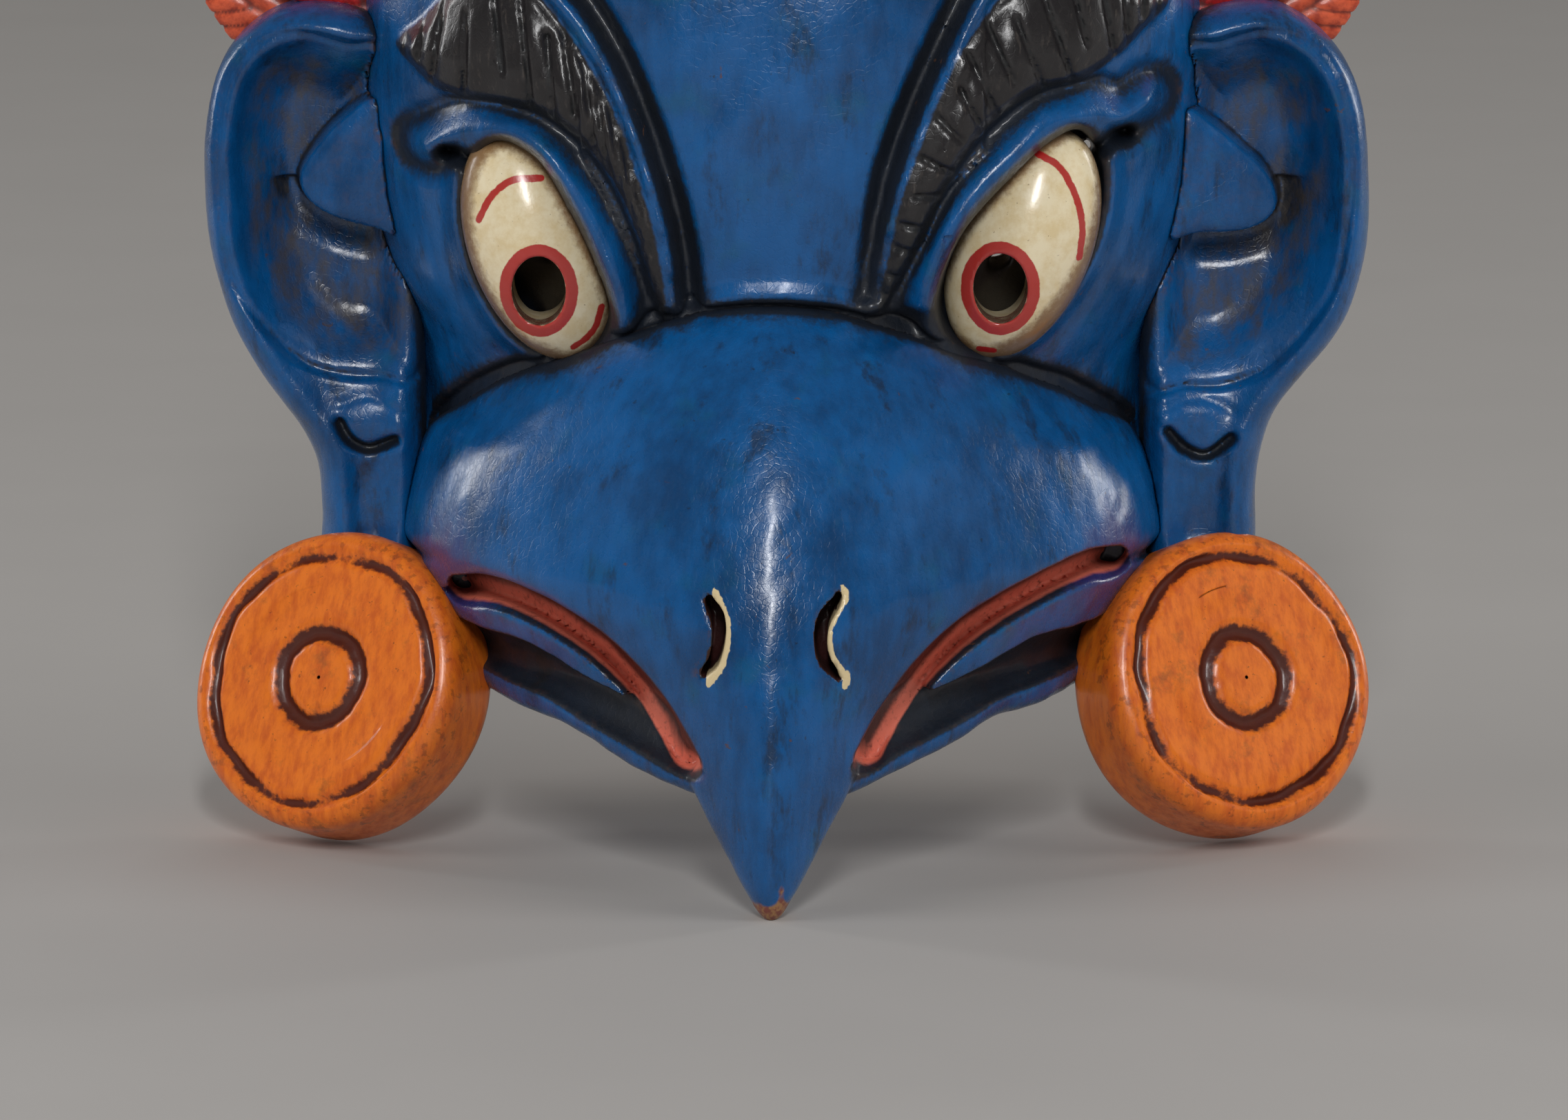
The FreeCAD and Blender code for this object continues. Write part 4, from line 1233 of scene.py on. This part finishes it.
def beak_areas(points, facing):
    x, v, z = points.T
    body = beak_body(x, v, z)
    slit = sample(slit_field, x, z)
    below = ease(sample(slit_side, x, z), -0.8, 1.2)
    in_slit = SLIT_WIDE(np.abs(x)) + 0.5 - slit
    ahead = (v > 40) & (np.abs(x) > 14)
    nose = sample(nostril_field, x, z)
    cream = ease(x - nostril_middle(z, x), 0.3, 0.9) * ease(2.5 - nose, -0.2, 0.5)
    ends = [np.hypot(np.hypot(x - ex, z - ez), v - SLIT_END_FORWARD) for ex, ez in SLIT_ENDS]
    # painted shade and patina: darker along the seam with the head, where the beak is closed in and in the
    # run under the lip
    near_beak = np.maximum(head_outer(x, v, z) - 0.6, 0)
    seam = 0.75 * ridge(near_beak, 2.2) + 0.3 * ridge(near_beak, 10)
    closed = patina_and_shade(front_of_mask, points, facing)
    channel = jaw_channel(jaw_side(x, v, z), v, z)
    under_lip = ease(-channel, -1.6, 0.3) * (z < 56) * (v > 40)
    return {
        "patina_and_shade": np.clip(closed + seam + 0.75 * under_lip, 0, 1),
        "bare": 1 - ease(np.minimum(nose_room(x, v, z), v - BEAK_BACK), 0.3, 0.9),
        "edge": sharpness(beak_form, points, facing),
        "mouth": np.where(ahead, in_slit, -5),
        "mouth_shade": 0.95 * (1 - below),
        "nostril": ease(2.6 - nose, -0.2, 0.4) * (v > 95) * (body < -0.4),
        "cream": cream * (v > 95) * (body > -2.5),
        "purple": np.clip(1.1 - np.minimum(*ends) / 22, 0, 1),
        "tip": ease(-z, -5.5, -1.5) * 0.9 + 0.6 * ridge(x + 0.3, 1.1) * ease(-z, -18, -3),
    }


def ear_areas(points, facing):
    x, v, z = points.T
    concha = ease(-sample(inner_field, x, z), 2, 9) * (1 - ease(-sample(tragus_field, x, z), -1, 0.5))
    return {
        # painted shade and patina, darker where the ear is closed in
        "patina_and_shade": patina_and_shade(lambda *p: np.minimum(ear_form(*p), head_outer(*p)), points, facing),
        "edge": sharpness(ear_form, points, facing),
        "concha": concha * (v > 12),
    }


EYE_STROKES = (
    [
        [(-63, 137), (-60.5, 142), (-56, 145.6), (-50, 146)],
        [(-37.6, 118.6), (-38.8, 114.6), (-41, 111.8), (-43.6, 110)],
    ],
    [
        [(52.5, 151), (57.5, 148), (61, 141.5), (62.2, 135), (61.6, 129)],
        [(41, 109.5), (44, 109.2)],
    ],
)
STROKE_HALF = 0.7
RED_RING = 2.6


def eye_areas(which):
    """The painted areas of one eye: pupil, red ring, red strokes and browned rim."""
    strokes = nearest(EYE_STROKES[which])

    def areas(points, facing):
        x, v, z = points.T
        pupil = pupil_distance(x, z, which)
        ring = RED_RING / 2 - np.abs(pupil - RED_RING / 2)
        front = v > EYE_FORWARD + 1
        return {
            "red": np.where(front, np.maximum(ring, STROKE_HALF - sample(strokes, x, z)), -2),
            "pupil": np.where(front, -pupil, -2),
            "rim": ease(sample(eye_field, x, z), -4.5, 0.3) * 0.95,
        }

    return areas


def eye_side(which):
    """The field of one eye, with the pupil cut through it."""

    def form(x, v, z):
        hole = np.maximum(pupil_distance(x, z, which), EYE_FORWARD - 20 - v)
        return meet(eyeball(x, v, z, which), -hole, 0.5)

    return form


# ---------------------------------------------------------------- the pieces


DOWELS = (
    "beak_dowels", "crest_pegs", "left_ear_dowels", "right_ear_dowels", "left_spool_dowel",
    "right_spool_dowel",
)


def build():
    carve("face_shell_carving", face_form, 0.8, head_paint(), head_areas, "face_shell", (2, 4))
    carve("beak_carving", beak_form, 0.8, beak_paint(), beak_areas, "beak")
    ears, eyes, spools = ear_paint(), eye_paint(), spool_paint()
    for which, side in enumerate(("left", "right")):
        carve(f"{side}_ear_carving", ear_side(which), 0.7, ears, ear_areas, f"{side}_ear")
        carve(f"{side}_eye_inlay", eye_side(which), 0.45, eyes, eye_areas(which), f"{side}_eye", (2, 2))
        points, faces, marks = spool(which)
        mesh = write_mesh(f"{side}_spool_turning", points, faces)
        mark(mesh, marks)
        piece(f"{side}_spool_turning", mesh, spools, f"{side}_ear_spool")
    crest()
    wood = bare_wood().material
    for name in DOWELS:
        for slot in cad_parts[name].material_slots:
            slot.material = wood


def crest():
    """The plumes, in an orange back row and a red front row."""
    rows = [
        plume_paint("plume_orange", PLUME_ORANGE, PLUME_ORANGE_DEEP),
        plume_paint("plume_red", PLUME_RED, PLUME_RED_DEEP),
    ]
    places = [("top", 0, 1)]
    for index in range(1, len(PLUME_ROOTS)):
        number = len(PLUME_ROOTS) - index
        places += [(f"left_{number}", index, -1), (f"right_{number}", index, 1)]
    for label, index, sign in places:
        points, faces, marks = plume(index, sign)
        mesh = write_mesh(f"plume_{label}", points, faces)
        mark(mesh, marks)
        piece(f"plume_{label}", mesh, rows[index % 2], f"crest_plume_{label}")


build()

# ---------------------------------------------------------------- camera, floor and light

VIEW_RISE = 10.5  # degrees
VIEW_DISTANCE = 2.0
VIEW_TARGET = Vector((0.0003, -0.005, 0.0654))
LENS = 220.0
LIGHT_TARGET = Vector((0, -0.02, 0.1))
FLOOR_CORNERS = [(-12, -12, 0), (12, -12, 0), (12, 12, 0), (-12, 12, 0)]
# name, place, width and height, power, and whether the gloss shows it
LIGHTS = (
    ("overhead", (0.0, -1.7, 1.15), (0.14, 0.75), 17.0, True),
    ("left_fill", (-1.5, -0.5, 0.8), (0.8, 0.9), 9.0, False),
    ("right_fill", (1.5, -0.5, 0.8), (0.8, 0.9), 9.0, False),
    ("left_glint", (-1.5, 0.9, 0.55), (0.25, 0.8), 5.0, True),
    ("right_glint", (1.5, 0.9, 0.55), (0.25, 0.8), 5.0, True),
    ("back_fill", (0.0, 2.4, 2.2), (2.0, 1.0), 12.0, False),
)


def aim(thing, target):
    """Turns a camera or a light to face a point."""
    thing.rotation_mode = "QUATERNION"
    thing.rotation_quaternion = (target - thing.location).to_track_quat("-Z", "Y")


def studio():
    scene = bpy.context.scene
    camera = bpy.data.objects.new("camera", bpy.data.cameras.new("camera"))
    scene.collection.objects.link(camera)
    camera.data.lens = LENS
    camera.data.sensor_width = 36
    rise = math.radians(VIEW_RISE)
    camera.location = VIEW_TARGET + VIEW_DISTANCE * Vector((0, -math.cos(rise), math.sin(rise)))
    camera.data.clip_end = 60
    aim(camera, VIEW_TARGET)
    scene.camera = camera
    scene.view_settings.view_transform = "Standard"

    mesh = bpy.data.meshes.new("floor")
    mesh.from_pydata(FLOOR_CORNERS, [], [(0, 1, 2, 3)])
    floor = bpy.data.objects.new("floor", mesh)
    scene.collection.objects.link(floor)
    paint = Paint("floor_paper")
    tint = paint.mix(paint.noise(60, 2), colour(174, 171, 168), colour(178, 175, 172))
    mesh.materials.append(paint.finish(tint, 0.75).material)

    for name, place, (wide, tall), power, glossy in LIGHTS:
        data = bpy.data.lights.new(name, "AREA")
        data.shape = "RECTANGLE"
        data.size, data.size_y = wide, tall
        data.energy = power
        light = bpy.data.objects.new(name, data)
        light.location = place
        light.visible_glossy = glossy
        scene.collection.objects.link(light)
        aim(light, LIGHT_TARGET)

    world = bpy.data.worlds.new("studio")
    world.use_nodes = True
    background = world.node_tree.nodes["Background"]
    background.inputs["Color"].default_value = colour(132, 130, 127)
    background.inputs["Strength"].default_value = 0.6
    scene.world = world


studio()
